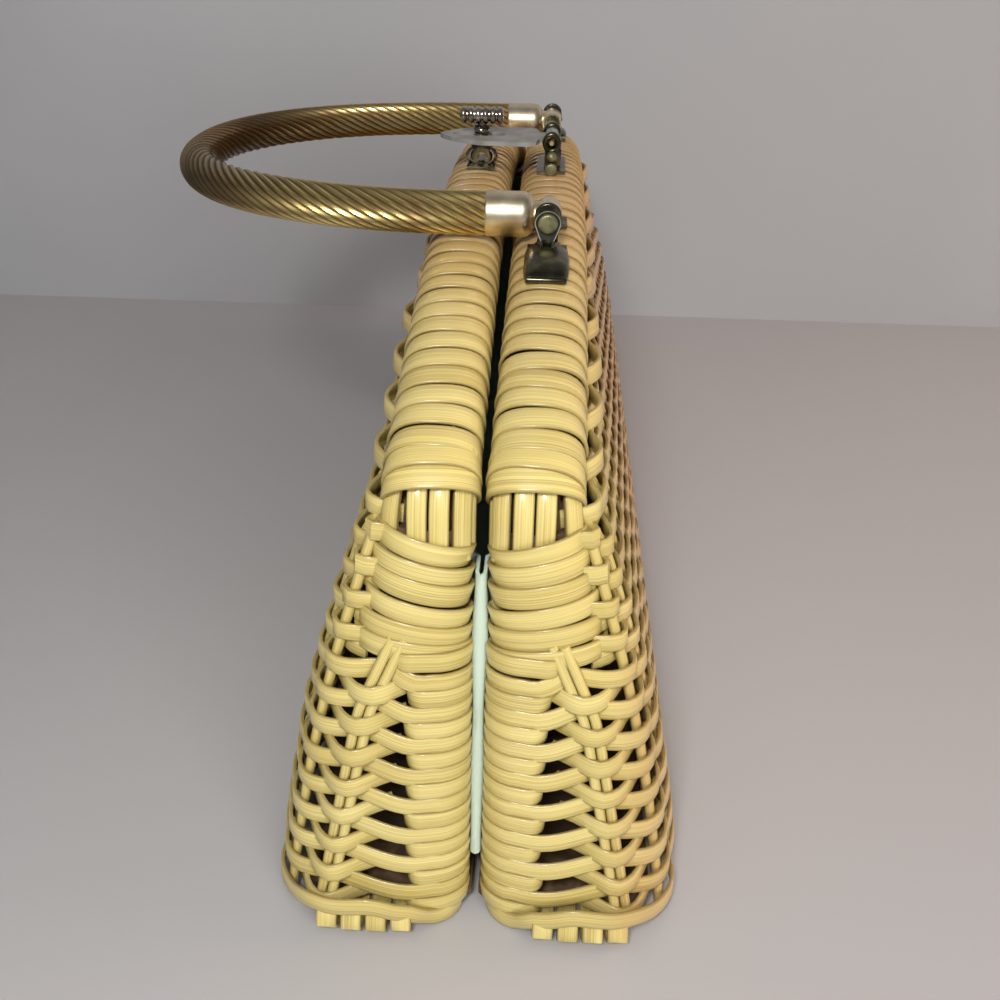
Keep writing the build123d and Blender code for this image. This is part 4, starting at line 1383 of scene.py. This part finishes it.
    def build_stakes(self) -> None:
        """Stand the single stakes along the side and the pairs at the ends."""
        basket = self.basket
        radius = self.stake_radius
        parts = []
        for x in self.stake_places():
            head = basket.rail_top(x) - basket.rail_thickness * 0.72
            heights = np.linspace(2.6 * MM, head, 24)
            tuck = np.clip((heights - head + 9 * MM) / (9 * MM), 0, 1) ** 2 * 2.6 * MM
            depth = [basket.side_reach(z) - radius for z in heights]
            points = np.stack([np.full(24, x), np.array(depth) - tuck, heights], 1)
            facing = np.tile(np.array([0.0, 1.0, 0.2]), (24, 1))
            parts.append(self._lay(Line(points, facing), 20, 2 * radius, 2 * radius, ROUND_REED))
        for tail in Tail:
            for offset in (-0.5, 0.5):
                heights = np.linspace(2.2 * MM, self.neck_foot + 3 * MM, 24)
                points = [self._end_place(self.pair_y(z) + offset * self.pair_space, z, radius * 0.9) for z in heights]
                parts.append(self._stand(np.array(points), tail))
            heights = np.linspace(2.2 * MM, basket.end_height - 12 * MM, 24)
            points = [
                self._end_place(basket.side_reach(z) - basket.wall_corner(z) * 0.22, z, radius * 0.9)
                for z in heights
            ]
            parts.append(self._stand(np.array(points), tail))
        self._finish(parts, "stake_reeds", "stakes")

    def _end_place(self, y: float, z: float, depth: float) -> np.ndarray:
        """Place on the far end's face at a distance from the gap, sunk by a depth."""
        line = self.basket.plan(z)
        half = len(line.points) // 2
        near = [np.interp(y, line.points[:half, 1], line.points[:half, i]) for i in range(3)]
        facing = [np.interp(y, line.points[:half, 1], line.outward[:half, i]) for i in range(3)]
        place = np.array(near) - np.array(facing) * depth
        return place * np.array([-1, 1, 1])

    def _stand(self, points: np.ndarray, tail: Tail) -> bpy.types.Object:
        """Round stake through points of the far end, on either end."""
        points = points * np.array([tail.value, 1, 1])
        facing = np.tile(np.array([tail.value, 0.0, 0.2]), (len(points), 1))
        return self._lay(Line(points, facing), 20, 2 * self.stake_radius, 2 * self.stake_radius, ROUND_REED)

    def build_floor_reeds(self) -> None:
        """Lay the flat reeds under the base and turn them up behind the lowest row."""
        parts = []
        thick = 1.0 * MM
        for n in range(self.floor_reeds):
            y = self.floor_reed_start + self.floor_reed_pitch * n
            reach = float(self._end_place(y, 2.9 * MM, 0)[0])
            half = [(share * (reach - 3 * MM), thick / 2) for share in (0.0, 0.3, 0.6, 0.85, 1.0)]
            half += [(reach + out * MM, up * MM) for out, up in self.floor_turn]
            track = np.array([(-x, z) for x, z in half[:0:-1]] + half)
            fan = (n - 1.0) * 0.07 * np.maximum(np.abs(track[:, 0]) - reach + 12 * MM, 0)
            points = np.stack([track[:, 0], y + fan, track[:, 1]], 1)
            steps = np.gradient(points, axis=0)
            facing = unit(np.stack([steps[:, 2], 0 * steps[:, 1], -steps[:, 0]], 1))
            parts.append(self._lay(Line(points, facing), 160, 4.4 * MM, thick))
        self._finish(parts, "floor_strips", "floor_reeds")


# Cloth


@dataclass
class Cloth:
    """Lining of both halves and the folded gussets between them."""

    basket: Basket
    cloth: bpy.types.Material
    thickness: float = 0.7 * MM
    foot: float = 7.0 * MM
    end_room: float = 15.9 * MM
    side_room: float = 6.5 * MM
    gusset_foot: float = 14.0 * MM
    gusset_top: float = 78.0 * MM

    def build(self) -> None:
        """Build and dress the cloth."""
        for side in Side:
            self.build_lining(side)
        self.build_gussets()

    def _grid(
        self, name: str, columns: int, rows: int, shape: Callable[[float, float], tuple], wall_face_shaded: bool
    ) -> bpy.types.Object:
        """Shape a plain grid into a sheet with thickness.

        Args:
            name: Name of the sheet.
            columns: Steps across.
            rows: Steps along.
            shape: Place in the frame for shares across and along.
            wall_face_shaded: Whether the face that lies on the wall is painted dark, as shade seen through the gaps of
                the weave.

        Returns:
            The sheet.
        """
        bpy.ops.object.select_all(action="DESELECT")
        bpy.ops.mesh.primitive_grid_add(x_subdivisions=columns, y_subdivisions=rows, size=2)
        piece = bpy.context.active_object
        piece.name = name
        piece.data.name = name
        for vertex in piece.data.vertices:
            vertex.co = shape((vertex.co.x + 1) / 2, (vertex.co.y + 1) / 2)
        layer = piece.data.uv_layers.active
        for loop in layer.data:
            loop.uv = loop.uv * 0.1
        solid = piece.modifiers.new("thickness", "SOLIDIFY")
        solid.thickness = self.thickness
        solid.offset = 0
        only(piece)
        faces = len(piece.data.polygons)
        bpy.ops.object.modifier_apply(modifier=solid.name)
        # Painted shade: move the marks of the face against the reed wall, so that it shows dark.
        if wall_face_shaded:
            layer = piece.data.uv_layers.active
            backs = [piece.data.polygons[n] for n in range(faces, 2 * faces)]
            fronts = [piece.data.polygons[n] for n in range(faces)]
            for face in max((backs, fronts), key=lambda group: self._spread(group)):
                for loop in face.loop_indices:
                    layer.data[loop].uv.x += 5
        outward(piece)
        return piece

    def _spread(self, faces: list[bpy.types.MeshPolygon]) -> float:
        """Area of a group of faces, which is larger on the outer side of a bent sheet."""
        return sum(face.area for face in faces)

    def build_lining(self, side: Side) -> None:
        """Line one half with a cloth wall round three sides and a floor.

        Args:
            side: The half.
        """
        basket = self.basket

        def wall(across: float, along: float) -> tuple:
            """Place on the lining's wall."""
            z_low = self.foot
            reach_mid = basket.end_reach(60 * MM) - self.end_room
            x_share = (across - 0.5) * 2
            z_high = min(basket.rail_top(x_share * reach_mid) - 15.5 * MM, 200 * MM)
            z = z_low + (z_high - z_low) * along
            reach_x = basket.end_reach(z) - self.end_room
            reach_y = basket.side_reach(z) - self.side_room
            start = basket.face_gap + 0.4 * MM
            end = reach_y - start
            total = 2 * end + 2 * reach_x
            run = across * total
            if run < end:
                x, y = -reach_x, start + run
            elif run > total - end:
                x, y = reach_x, start + total - run
            else:
                x, y = -reach_x + run - end, reach_y
            soft = 0.25 * MM * sin(run * 260) * along
            return tuple(basket.placed(np.array([x, y - abs(soft), z]), side))

        def floor(across: float, along: float) -> tuple:
            """Place on the lining's floor."""
            reach_x = basket.end_reach(self.foot) - self.end_room - 0.4 * MM
            reach_y = basket.side_reach(self.foot) - self.side_room - 0.4 * MM
            start = basket.face_gap + 0.4 * MM
            point = np.array([(across * 2 - 1) * reach_x, start + along * (reach_y - start), self.foot])
            return tuple(basket.placed(point, side))

        piece = joined(
            [self._grid("lining_wall", 96, 12, wall, True), self._grid("lining_floor", 40, 6, floor, False)],
            f"{side.prefix}_lining_cloth",
        )
        finish_piece(piece, self.cloth, side.body, "lining_cloth", f"{side.prefix}_lining")

    def build_gussets(self) -> None:
        """Fold a gusset across the gap at each end."""
        basket = self.basket
        for tail in Tail:

            def fold(across: float, along: float) -> tuple:
                """Place on the folded gusset."""
                z = self.gusset_foot + (self.gusset_top - self.gusset_foot) * along
                root = basket.end_reach(z) - 11.6 * MM
                tip = basket.end_reach(z) - 3.4 * MM + 0.5 * MM * sin(z * 150)
                half = 1.05 * MM + 0.25 * MM * sin(z * 210 + 1)
                track = [(root, 12.6 * MM), (root, half + 1.2 * MM), (root + 1.2 * MM, half)]
                track += [(tip - 1.0 * MM, half), (tip, half * 0.45)]
                track += [(x, -y) for x, y in reversed(track)]
                points = np.array(track)
                steps = np.linalg.norm(np.diff(points, axis=0), axis=1)
                run = np.concatenate([[0], np.cumsum(steps)])
                want = across * run[-1]
                x, y = np.interp(want, run, points[:, 0]), np.interp(want, run, points[:, 1])
                return (tail.value * x, basket.gap_plane + y, z)

            name = f"{tail.name.lower()}_gusset_cloth"
            piece = self._grid(name, 60, 24, fold, False)
            dress(piece, self.cloth)
            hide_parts("gussets")
            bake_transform(piece)
            LOG.info("%s: %d faces", piece.name, len(piece.data.polygons))


# Metal


@dataclass
class Handle:
    """Roped tube and its two ferrules."""

    basket: Basket
    rope: bpy.types.Material
    gilt: bpy.types.Material
    pin_x: float = 62.0 * MM
    reach: float = 103.7 * MM
    straight: float = 20.7 * MM
    power: float = 2.2
    radius: float = 5.35 * MM
    ferrule_radius: float = 5.5 * MM
    ferrule_length: float = 15.5 * MM
    twist: float = 4.2

    def build(self) -> None:
        """Build and dress the handle."""
        low, high = (Vector(corner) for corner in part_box("handle_ferrules"))
        self.pin_y = low.y + self.ferrule_radius
        self.pin_z = (low.z + high.z) / 2
        self.build_rope()
        self.build_ferrules()

    def _track(self) -> Line:
        """Middle line from one foot to the other."""
        angle = np.linspace(0, pi, 181)
        across = np.sign(np.cos(angle)) * np.abs(np.cos(angle)) ** (2 / self.power)
        out = np.sin(angle) ** (2 / self.power)
        x = -self.pin_x * across
        y = self.straight + (self.reach - self.straight) * out
        foot = self.ferrule_length - 1 * MM
        x = np.concatenate([[-self.pin_x], x, [self.pin_x]])
        y = np.concatenate([[foot], y, [foot]])
        points = np.stack([x, y + self.pin_y, np.full_like(x, self.pin_z)], 1)
        return Line(points, np.tile(UP, (len(x), 1)))

    def build_rope(self) -> None:
        """Bend the fluted tube round the handle's line."""
        piece = ROPE.lay(self._track(), 300, 2 * self.radius, 2 * self.radius, turns=self.twist)
        piece = joined([piece], "roped_tube")
        finish_piece(piece, self.rope, "handle", "handle_brass", "handle_tube")

    def build_ferrules(self) -> None:
        """Turn the two sleeves, each with a lug for its pivot pin."""
        parts = []
        neck = 3.4 * MM
        for tail in Tail:
            x = tail.value * self.pin_x
            near = self.pin_y + neck
            far = self.pin_y + self.ferrule_length
            sleeve = rod((x, (near + far) / 2, self.pin_z), self.ferrule_radius, far - near, "Y", 48)
            self._round_end(sleeve, near, 3.0 * MM, 7)
            self._round_end(sleeve, far, 0.45 * MM, 3)
            lug = rod((x, self.pin_y, self.pin_z), 3.3 * MM, 10.6 * MM, "X", 32)
            bridge = rod((x, self.pin_y + neck * 0.8, self.pin_z), 3.2 * MM, neck * 1.6, "Y", 32)
            parts += [sleeve, lug, bridge]
        piece = joined(parts, "turned_ferrules")
        finish_piece(piece, self.gilt, "handle", "ferrule_gold", "handle_ferrules")

    def _round_end(self, piece: bpy.types.Object, y: float, radius: float, steps: int) -> None:
        """Round the rim of a sleeve at one end.

        Args:
            piece: The sleeve.
            y: Where its end lies.
            radius: Radius of the rounding.
            steps: Steps of the rounding.
        """
        only(piece)
        bpy.ops.object.mode_set(mode="EDIT")
        bpy.ops.mesh.select_mode(type="EDGE")
        bpy.ops.mesh.select_all(action="DESELECT")
        bpy.ops.object.mode_set(mode="OBJECT")
        vertices = piece.data.vertices
        for edge in piece.data.edges:
            edge.select = all(abs(vertices[n].co.y - y) < 1e-5 for n in edge.vertices)
        bpy.ops.object.mode_set(mode="EDIT")
        bpy.ops.mesh.bevel(offset=radius, segments=steps, affect="EDGES")
        bpy.ops.object.mode_set(mode="OBJECT")


@dataclass
class Hardware:
    """Pressed and turned trim of the brackets and the turn clasp."""

    basket: Basket
    dark: bpy.types.Material
    bright: bpy.types.Material
    gilt: bpy.types.Material
    pin_x: float = 62.0 * MM
    ear_x: float = 67.85 * MM
    ear_thickness: float = 1.2 * MM
    tongue_length: float = 18.4 * MM
    tongue_width: float = 10.8 * MM
    tongue_height: float = 2.9 * MM
    tongue_powers: tuple[float, float, float] = (0.5, 0.5, 0.85)
    rib_pitch: float = 2.15 * MM
    ribs: int = 6

    def build(self) -> None:
        """Build and dress the trim."""
        for tail in Tail:
            self.build_tongue(tail)
            self.build_drop(tail)
        self.build_barrel()
        self.build_stud()
        self.build_knuckle()

    def _pin(self) -> tuple[float, float]:
        """Place of the handle's pivot axis in y and z."""
        low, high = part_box("handle_pins")
        return (low[1] + high[1]) / 2, (low[2] + high[2]) / 2

    def build_tongue(self, tail: Tail) -> None:
        """Press the domed tongue over one bracket's strap, with its square foot.

        Args:
            tail: The end that the bracket is at.
        """
        basket = self.basket
        pin_y, _ = self._pin()
        start, end = self.ear_x + 0.4 * MM, self.ear_x + self.tongue_length + 0.6 * MM
        middle = (start + end) / 2
        tilt = basket.rail_tilt(middle)
        top = basket.rail_top(middle) + 0.2 * MM
        bpy.ops.object.select_all(action="DESELECT")
        bpy.ops.mesh.primitive_uv_sphere_add(segments=48, ring_count=32, radius=1)
        dome = bpy.context.active_object
        half = (end - start) / 2
        for vertex in dome.data.vertices:
            x, y, z = (np.sign(value) * abs(value) ** power for value, power in zip(vertex.co, self.tongue_powers))
            rise = self.tongue_height * (1 - 0.55 * max(-x, 0) ** 2 - 0.35 * max(x, 0) ** 2)
            vertex.co = Vector((x * half, y * self.tongue_width / 2, z * rise))
        foot = rod((half - 0.5 * MM, 0, 0.5 * MM), 0.85 * MM, self.tongue_width - 1.2 * MM, "Y", 20)
        foot = softened(foot, 0.4 * MM, 3)
        piece = joined([dome, foot], f"{tail.name.lower()}_bracket_tongue")
        turn = Matrix.Rotation(-tilt, 4, "Y")
        for vertex in piece.data.vertices:
            place = turn @ vertex.co + Vector((middle, pin_y, top))
            vertex.co = Vector((place.x * tail.value, place.y, place.z))
        outward(piece)
        finish_piece(piece, self.dark, "front_half", "antique_metal")

    def _block(self, place: tuple, size: tuple) -> bpy.types.Object:
        """Plain block with its place in its mesh."""
        bpy.ops.object.select_all(action="DESELECT")
        bpy.ops.mesh.primitive_cube_add(size=1, location=place, scale=size)
        bpy.ops.object.transform_apply(location=True, scale=True)
        return bpy.context.active_object

    def build_drop(self, tail: Tail) -> None:
        """Cut the drop-shaped ear with its raised rim, and the dark arch behind it.

        Args:
            tail: The end that the ear is at.
        """
        pin_y, pin_z = self._pin()
        outer = self.ear_x + self.ear_thickness
        arch = rod((tail.value * (outer - 0.5 * MM), pin_y, pin_z + 0.2 * MM), 3.4 * MM, 1.5 * MM, "X", 32)
        for vertex in arch.data.vertices:
            rise = vertex.co.z - pin_z
            vertex.co.z += 1.1 * MM if rise > 1.5 * MM else 0
            vertex.co.y = pin_y + (vertex.co.y - pin_y) * (1 if rise > 0 else 1.12)
        arch = softened(arch, 0.45 * MM, 3)
        arch = joined([arch], f"{tail.name.lower()}_bracket_arch")
        finish_piece(arch, self.dark, "front_half", "antique_metal")
        drop = rod((tail.value * (outer + 0.55 * MM), pin_y, pin_z - 0.2 * MM), 3.2 * MM, 0.9 * MM, "X", 40)
        for vertex in drop.data.vertices:
            fall = (pin_z - vertex.co.z) / (3.2 * MM)
            if fall > 0:
                vertex.co.z -= fall**2 * 2.6 * MM
                vertex.co.y = pin_y + (vertex.co.y - pin_y) * (1 - 0.3 * fall)
        only(drop)
        bpy.ops.object.mode_set(mode="EDIT")
        bpy.ops.mesh.select_mode(type="FACE")
        bpy.ops.mesh.select_all(action="DESELECT")
        bpy.ops.object.mode_set(mode="OBJECT")
        for face in drop.data.polygons:
            face.select = face.normal.x * tail.value > 0.9
        bpy.ops.object.mode_set(mode="EDIT")
        bpy.ops.mesh.inset(thickness=0.55 * MM)
        bpy.ops.transform.translate(value=(-0.5 * MM * tail.value, 0, 0))
        bpy.ops.object.mode_set(mode="OBJECT")
        head = rod((tail.value * (outer + 1.15 * MM), pin_y, pin_z), 2.4 * MM, 1.3 * MM, "X", 28)
        head = softened(head, 0.62 * MM, 5)
        drop = joined([drop], f"{tail.name.lower()}_bracket_drop")
        rim = PlainFinish(
            "worn_rim", (0.62, 0.61, 0.55), (0.05, 0.05, 0.035), 0.45, 0.3, rim_x=outer + 0.95 * MM
        )
        finish_piece(drop, rim.build(), "front_half", "antique_metal")
        head = joined([head], f"{tail.name.lower()}_pin_head")
        finish_piece(head, self.gilt, "front_half", "antique_metal")

    def build_barrel(self) -> None:
        """Turn the ribbed barrel of the clasp and its stem."""
        low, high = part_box("toggle")
        y, z = (low[1] + high[1]) / 2, high[2] - 2.35 * MM
        parts = [rod((0, y, z), 1.75 * MM, (self.ribs - 0.4) * self.rib_pitch, "Y", 20)]
        first = None
        for rib in range(self.ribs):
            off = (rib - (self.ribs - 1) / 2) * self.rib_pitch
            if first is None:
                first = softened(rod((0, y + off, z), 2.45 * MM, 1.85 * MM, "Y", 28), 0.8 * MM, 4)
                parts.append(first)
                continue
            copy = first.copy()
            copy.data = first.data.copy()
            bpy.context.collection.objects.link(copy)
            copy.data.transform(Matrix.Translation((0, rib * self.rib_pitch, 0)))
            parts.append(copy)
        parts.append(rod((0, y, (low[2] + z) / 2), 1.35 * MM, z - low[2], "Z", 20))
        piece = joined(parts, "ribbed_barrel")
        finish_piece(piece, self.bright, "toggle", "antique_metal", "toggle")

    def build_stud(self) -> None:
        """Bend the loop and the coiled collar under the barrel."""
        low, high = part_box("stud")
        y = (low[1] + high[1]) / 2
        loop = ring((-1.0 * MM, y, low[2] + 3.0 * MM), 2.9 * MM, 0.95 * MM, (0, pi / 2, 0), (1, 1.25, 0.85))
        coils = [
            ring((0, y, high[2] - (4.9 - 1.75 * n) * MM), 1.75 * MM, 0.85 * MM, (radians(14), 0, 0))
            for n in range(3)
        ]
        piece = joined([loop, *coils], "stud_loop")
        finish_piece(piece, self.bright, "back_half", "antique_metal")

    def build_knuckle(self) -> None:
        """Curl the knuckle round the hasp's pin, with its ball and the brass stub under it."""
        low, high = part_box("hasp_pin")
        y, z = (low[1] + high[1]) / 2, (low[2] + high[2]) / 2
        parts = []
        for x in (low[0] + 1.0 * MM, high[0] - 1.0 * MM):
            curl = ring((x, y, z), 2.0 * MM, 0.75 * MM, (0, pi / 2, 0), (1.4, 1, 1.12))
            stem = self._block((x, y - 0.6 * MM, z - 4.2 * MM), (1.7 * MM, 4.6 * MM, 5.6 * MM))
            parts += [curl, softened(stem, 0.7 * MM, 3)]
        piece = joined(parts, "hasp_knuckle")
        finish_piece(piece, self.dark, "front_half", "antique_metal")
        bpy.ops.object.select_all(action="DESELECT")
        place = (low[0] - 1.0 * MM, y, z - 3.6 * MM)
        bpy.ops.mesh.primitive_uv_sphere_add(segments=24, ring_count=14, radius=1.55 * MM, location=place)
        bpy.ops.object.transform_apply(location=True)
        ball = bpy.context.active_object
        stub = softened(rod((low[0] - 1.2 * MM, y, z - 7.0 * MM), 1.8 * MM, 3.4 * MM, "X", 24), 0.5 * MM, 3)
        piece = joined([ball, stub], "hasp_ball")
        finish_piece(piece, self.gilt, "front_half", "antique_metal")


@dataclass
class Fittings:
    """Metal nodes of the frame that keep their own shapes and get their finishes."""

    finishes: dict[str, bpy.types.Material]

    def build(self) -> None:
        """Dress each node that is still shown."""
        choices = {
            "hasp": "steel",
            "stud": "dark",
            "stud_nails": "dark",
            "hasp_bracket": "dark",
            "hasp_bracket_nails": "dark",
            "hasp_pin": "gilt",
            "near_handle_bracket": "dark",
            "far_handle_bracket": "dark",
            "handle_pins": "pin",
            "back_hinge_leaves": "brass",
            "front_hinge_leaves": "brass",
            "hinge_pins": "brass",
            "back_base": "core",
            "front_base": "core",
        }
        for node, finish in choices.items():
            dress(bpy.data.objects[node], self.finishes[finish])
            LOG.info("%s: %s", node, finish)


# Stage


@dataclass
class Studio:
    """Floor, backdrop, soft lights and the camera."""

    basket: Basket
    camera_place: Colour = (-310.3, -10.24, 189.9)
    yaw: float = 0.043
    pitch: float = 0.540
    roll: float = 0.018
    lens: float = 36.0

    def build(self) -> None:
        """Set the stage."""
        floor_finish = PlainFinish("pale_floor", (0.37, 0.36, 0.365), (0.36, 0.35, 0.355), grain=3.0)
        wall_finish = PlainFinish("grey_backdrop", (0.42, 0.425, 0.44), (0.39, 0.395, 0.41), roughness=0.8, grain=3.0)
        self._plane("floor", (0, 0, -0.2 * MM), (0, 0, 0), 4.0, floor_finish.build())
        self._plane("backdrop", (0.205, 0, 1.95), (0, -pi / 2, 0), 4.0, self._one_sided(wall_finish.build()))
        self._light("ceiling", (-0.2, 0.1, 1.3), (0.0, 0.0, 0.05), 1.0, 3.5, (1.0, 0.98, 0.95), False)
        self._light("front", (-0.65, -0.30, 0.26), (-0.15, 0.0, 0.05), 0.35, 2.5, (1.0, 0.99, 0.95), False)
        self._light("lamp", (-0.46, 0.03, 0.42), (-0.12, 0.0, 0.06), 0.10, 1.9, (1.0, 0.98, 0.94), True)
        self._light("warm_side", (0.1, -0.8, 0.35), (0.05, 0.0, 0.06), 0.5, 4.6, (1.0, 0.72, 0.58), False)
        world = bpy.data.worlds.new("soft_room")
        world.use_nodes = True
        world.node_tree.nodes["Background"].inputs[0].default_value = (0.62, 0.62, 0.66, 1)
        world.node_tree.nodes["Background"].inputs[1].default_value = 0.26
        bpy.context.scene.world = world
        bpy.context.scene.view_settings.view_transform = "Standard"
        self._camera()

    def _one_sided(self, material: bpy.types.Material) -> bpy.types.Material:
        """Let a backdrop be seen from its front alone, so that the bag can be seen from behind it."""
        tree = material.node_tree
        clear = tree.nodes.new("ShaderNodeBsdfTransparent")
        back = tree.nodes.new("ShaderNodeNewGeometry")
        mix = tree.nodes.new("ShaderNodeMixShader")
        output = next(node for node in tree.nodes if node.type == "OUTPUT_MATERIAL")
        surface = next(node for node in tree.nodes if node.type == "BSDF_PRINCIPLED")
        tree.links.new(back.outputs["Backfacing"], mix.inputs[0])
        tree.links.new(surface.outputs[0], mix.inputs[1])
        tree.links.new(clear.outputs[0], mix.inputs[2])
        tree.links.new(mix.outputs[0], output.inputs[0])
        return material

    def _plane(self, name: str, place: tuple, turn: tuple, size: float, material: bpy.types.Material) -> None:
        """Add one plane of the stage."""
        bpy.ops.object.select_all(action="DESELECT")
        bpy.ops.mesh.primitive_plane_add(size=size, location=place, rotation=turn)
        piece = bpy.context.active_object
        piece.name = name
        dress(piece, material)

    def _light(
        self, name: str, place: tuple, aim: tuple, size: float, power: float, colour: Colour, shows: bool
    ) -> None:
        """Add one soft light aimed at a point, which may show in the metal."""
        data = bpy.data.lights.new(name, "AREA")
        data.size = size
        data.energy = power
        data.color = colour
        lamp = bpy.data.objects.new(name, data)
        lamp.location = place
        lamp.visible_glossy = shows
        lamp.rotation_euler = (Vector(aim) - Vector(place)).to_track_quat("-Z", "Y").to_euler()
        bpy.context.collection.objects.link(lamp)

    def _camera(self) -> None:
        """Place the camera at the photograph's viewing angle."""
        c, s = cos(self.yaw), sin(self.yaw)
        forward = Vector((c * cos(self.pitch), s * cos(self.pitch), -sin(self.pitch)))
        right = Vector((s, -c, 0))
        upward = Vector((sin(self.pitch) * c, sin(self.pitch) * s, cos(self.pitch)))
        x_axis = right * cos(self.roll) + upward * sin(self.roll)
        y_axis = upward * cos(self.roll) - right * sin(self.roll)
        data = bpy.data.cameras.new("photo_camera")
        data.lens = self.lens
        data.sensor_width = 36.0
        camera = bpy.data.objects.new("photo_camera", data)
        x, y, z = (value * MM for value in self.camera_place)
        matrix = Matrix((x_axis, y_axis, -forward)).transposed().to_4x4()
        matrix.translation = Vector((x, y + self.basket.gap_plane, z))
        camera.matrix_world = matrix
        bpy.context.collection.objects.link(camera)
        bpy.context.scene.camera = camera


def main() -> None:
    """Build the bag's pieces in order."""
    logging.basicConfig(level=logging.INFO, format="%(name)s %(message)s")
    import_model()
    bpy.ops.object.select_all(action="DESELECT")
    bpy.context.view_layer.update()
    back_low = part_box("back_top_binding")[0][1]
    front_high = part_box("front_top_binding")[1][1]
    basket = Basket(gap_plane=(back_low + front_high) / 2)
    core = PlainFinish("dark_core", (0.16, 0.10, 0.05), (0.07, 0.04, 0.02), roughness=0.7).build()
    reeds = {
        Side.BACK: ReedFinish("straw_reed_back").build(),
        # The front reed's painted tan shade starts nearer and also covers its outer face.
        Side.FRONT: ReedFinish("straw_reed_front", tan_amount=0.75, tan_start=-0.15, side_start=0.052, side_end=0.066).build(),
    }
    for side, reed in reeds.items():
        Half(basket, side, reed, core).build()
    Cloth(basket, ClothFinish("mint_cloth").build()).build()
    gilt = PlainFinish("champagne_gilt", (0.86, 0.76, 0.56), (0.76, 0.64, 0.44), metallic=1.0, roughness=0.3).build()
    Handle(basket, RopeFinish("roped_gilt").build(), gilt).build()
    finishes = {
        "steel": PlainFinish("grey_steel", (0.30, 0.29, 0.28), (0.23, 0.22, 0.21), metallic=0.3, roughness=0.5).build(),
        "dark": PlainFinish("dark_antique", (0.22, 0.20, 0.13), (0.08, 0.075, 0.05), metallic=1.0, roughness=0.2).build(),
        "bright": PlainFinish("worn_nickel", (0.62, 0.56, 0.48), (0.34, 0.29, 0.24), metallic=1.0, roughness=0.16).build(),
        "pin": PlainFinish("worn_brass", (0.36, 0.35, 0.20), (0.16, 0.16, 0.09), metallic=0.9, roughness=0.42).build(),
        "brass": PlainFinish("hinge_brass", (0.62, 0.47, 0.22), (0.45, 0.33, 0.15), metallic=1.0, roughness=0.4).build(),
        "gilt": gilt,
        "core": core,
    }
    Hardware(basket, finishes["dark"], finishes["bright"], finishes["pin"]).build()
    Fittings(finishes).build()
    for stock in (FLAT_REED, ROUND_REED, CORE, ROPE):
        stock.drop()
    Studio(basket).build()


if __name__ == "__main__":
    main()
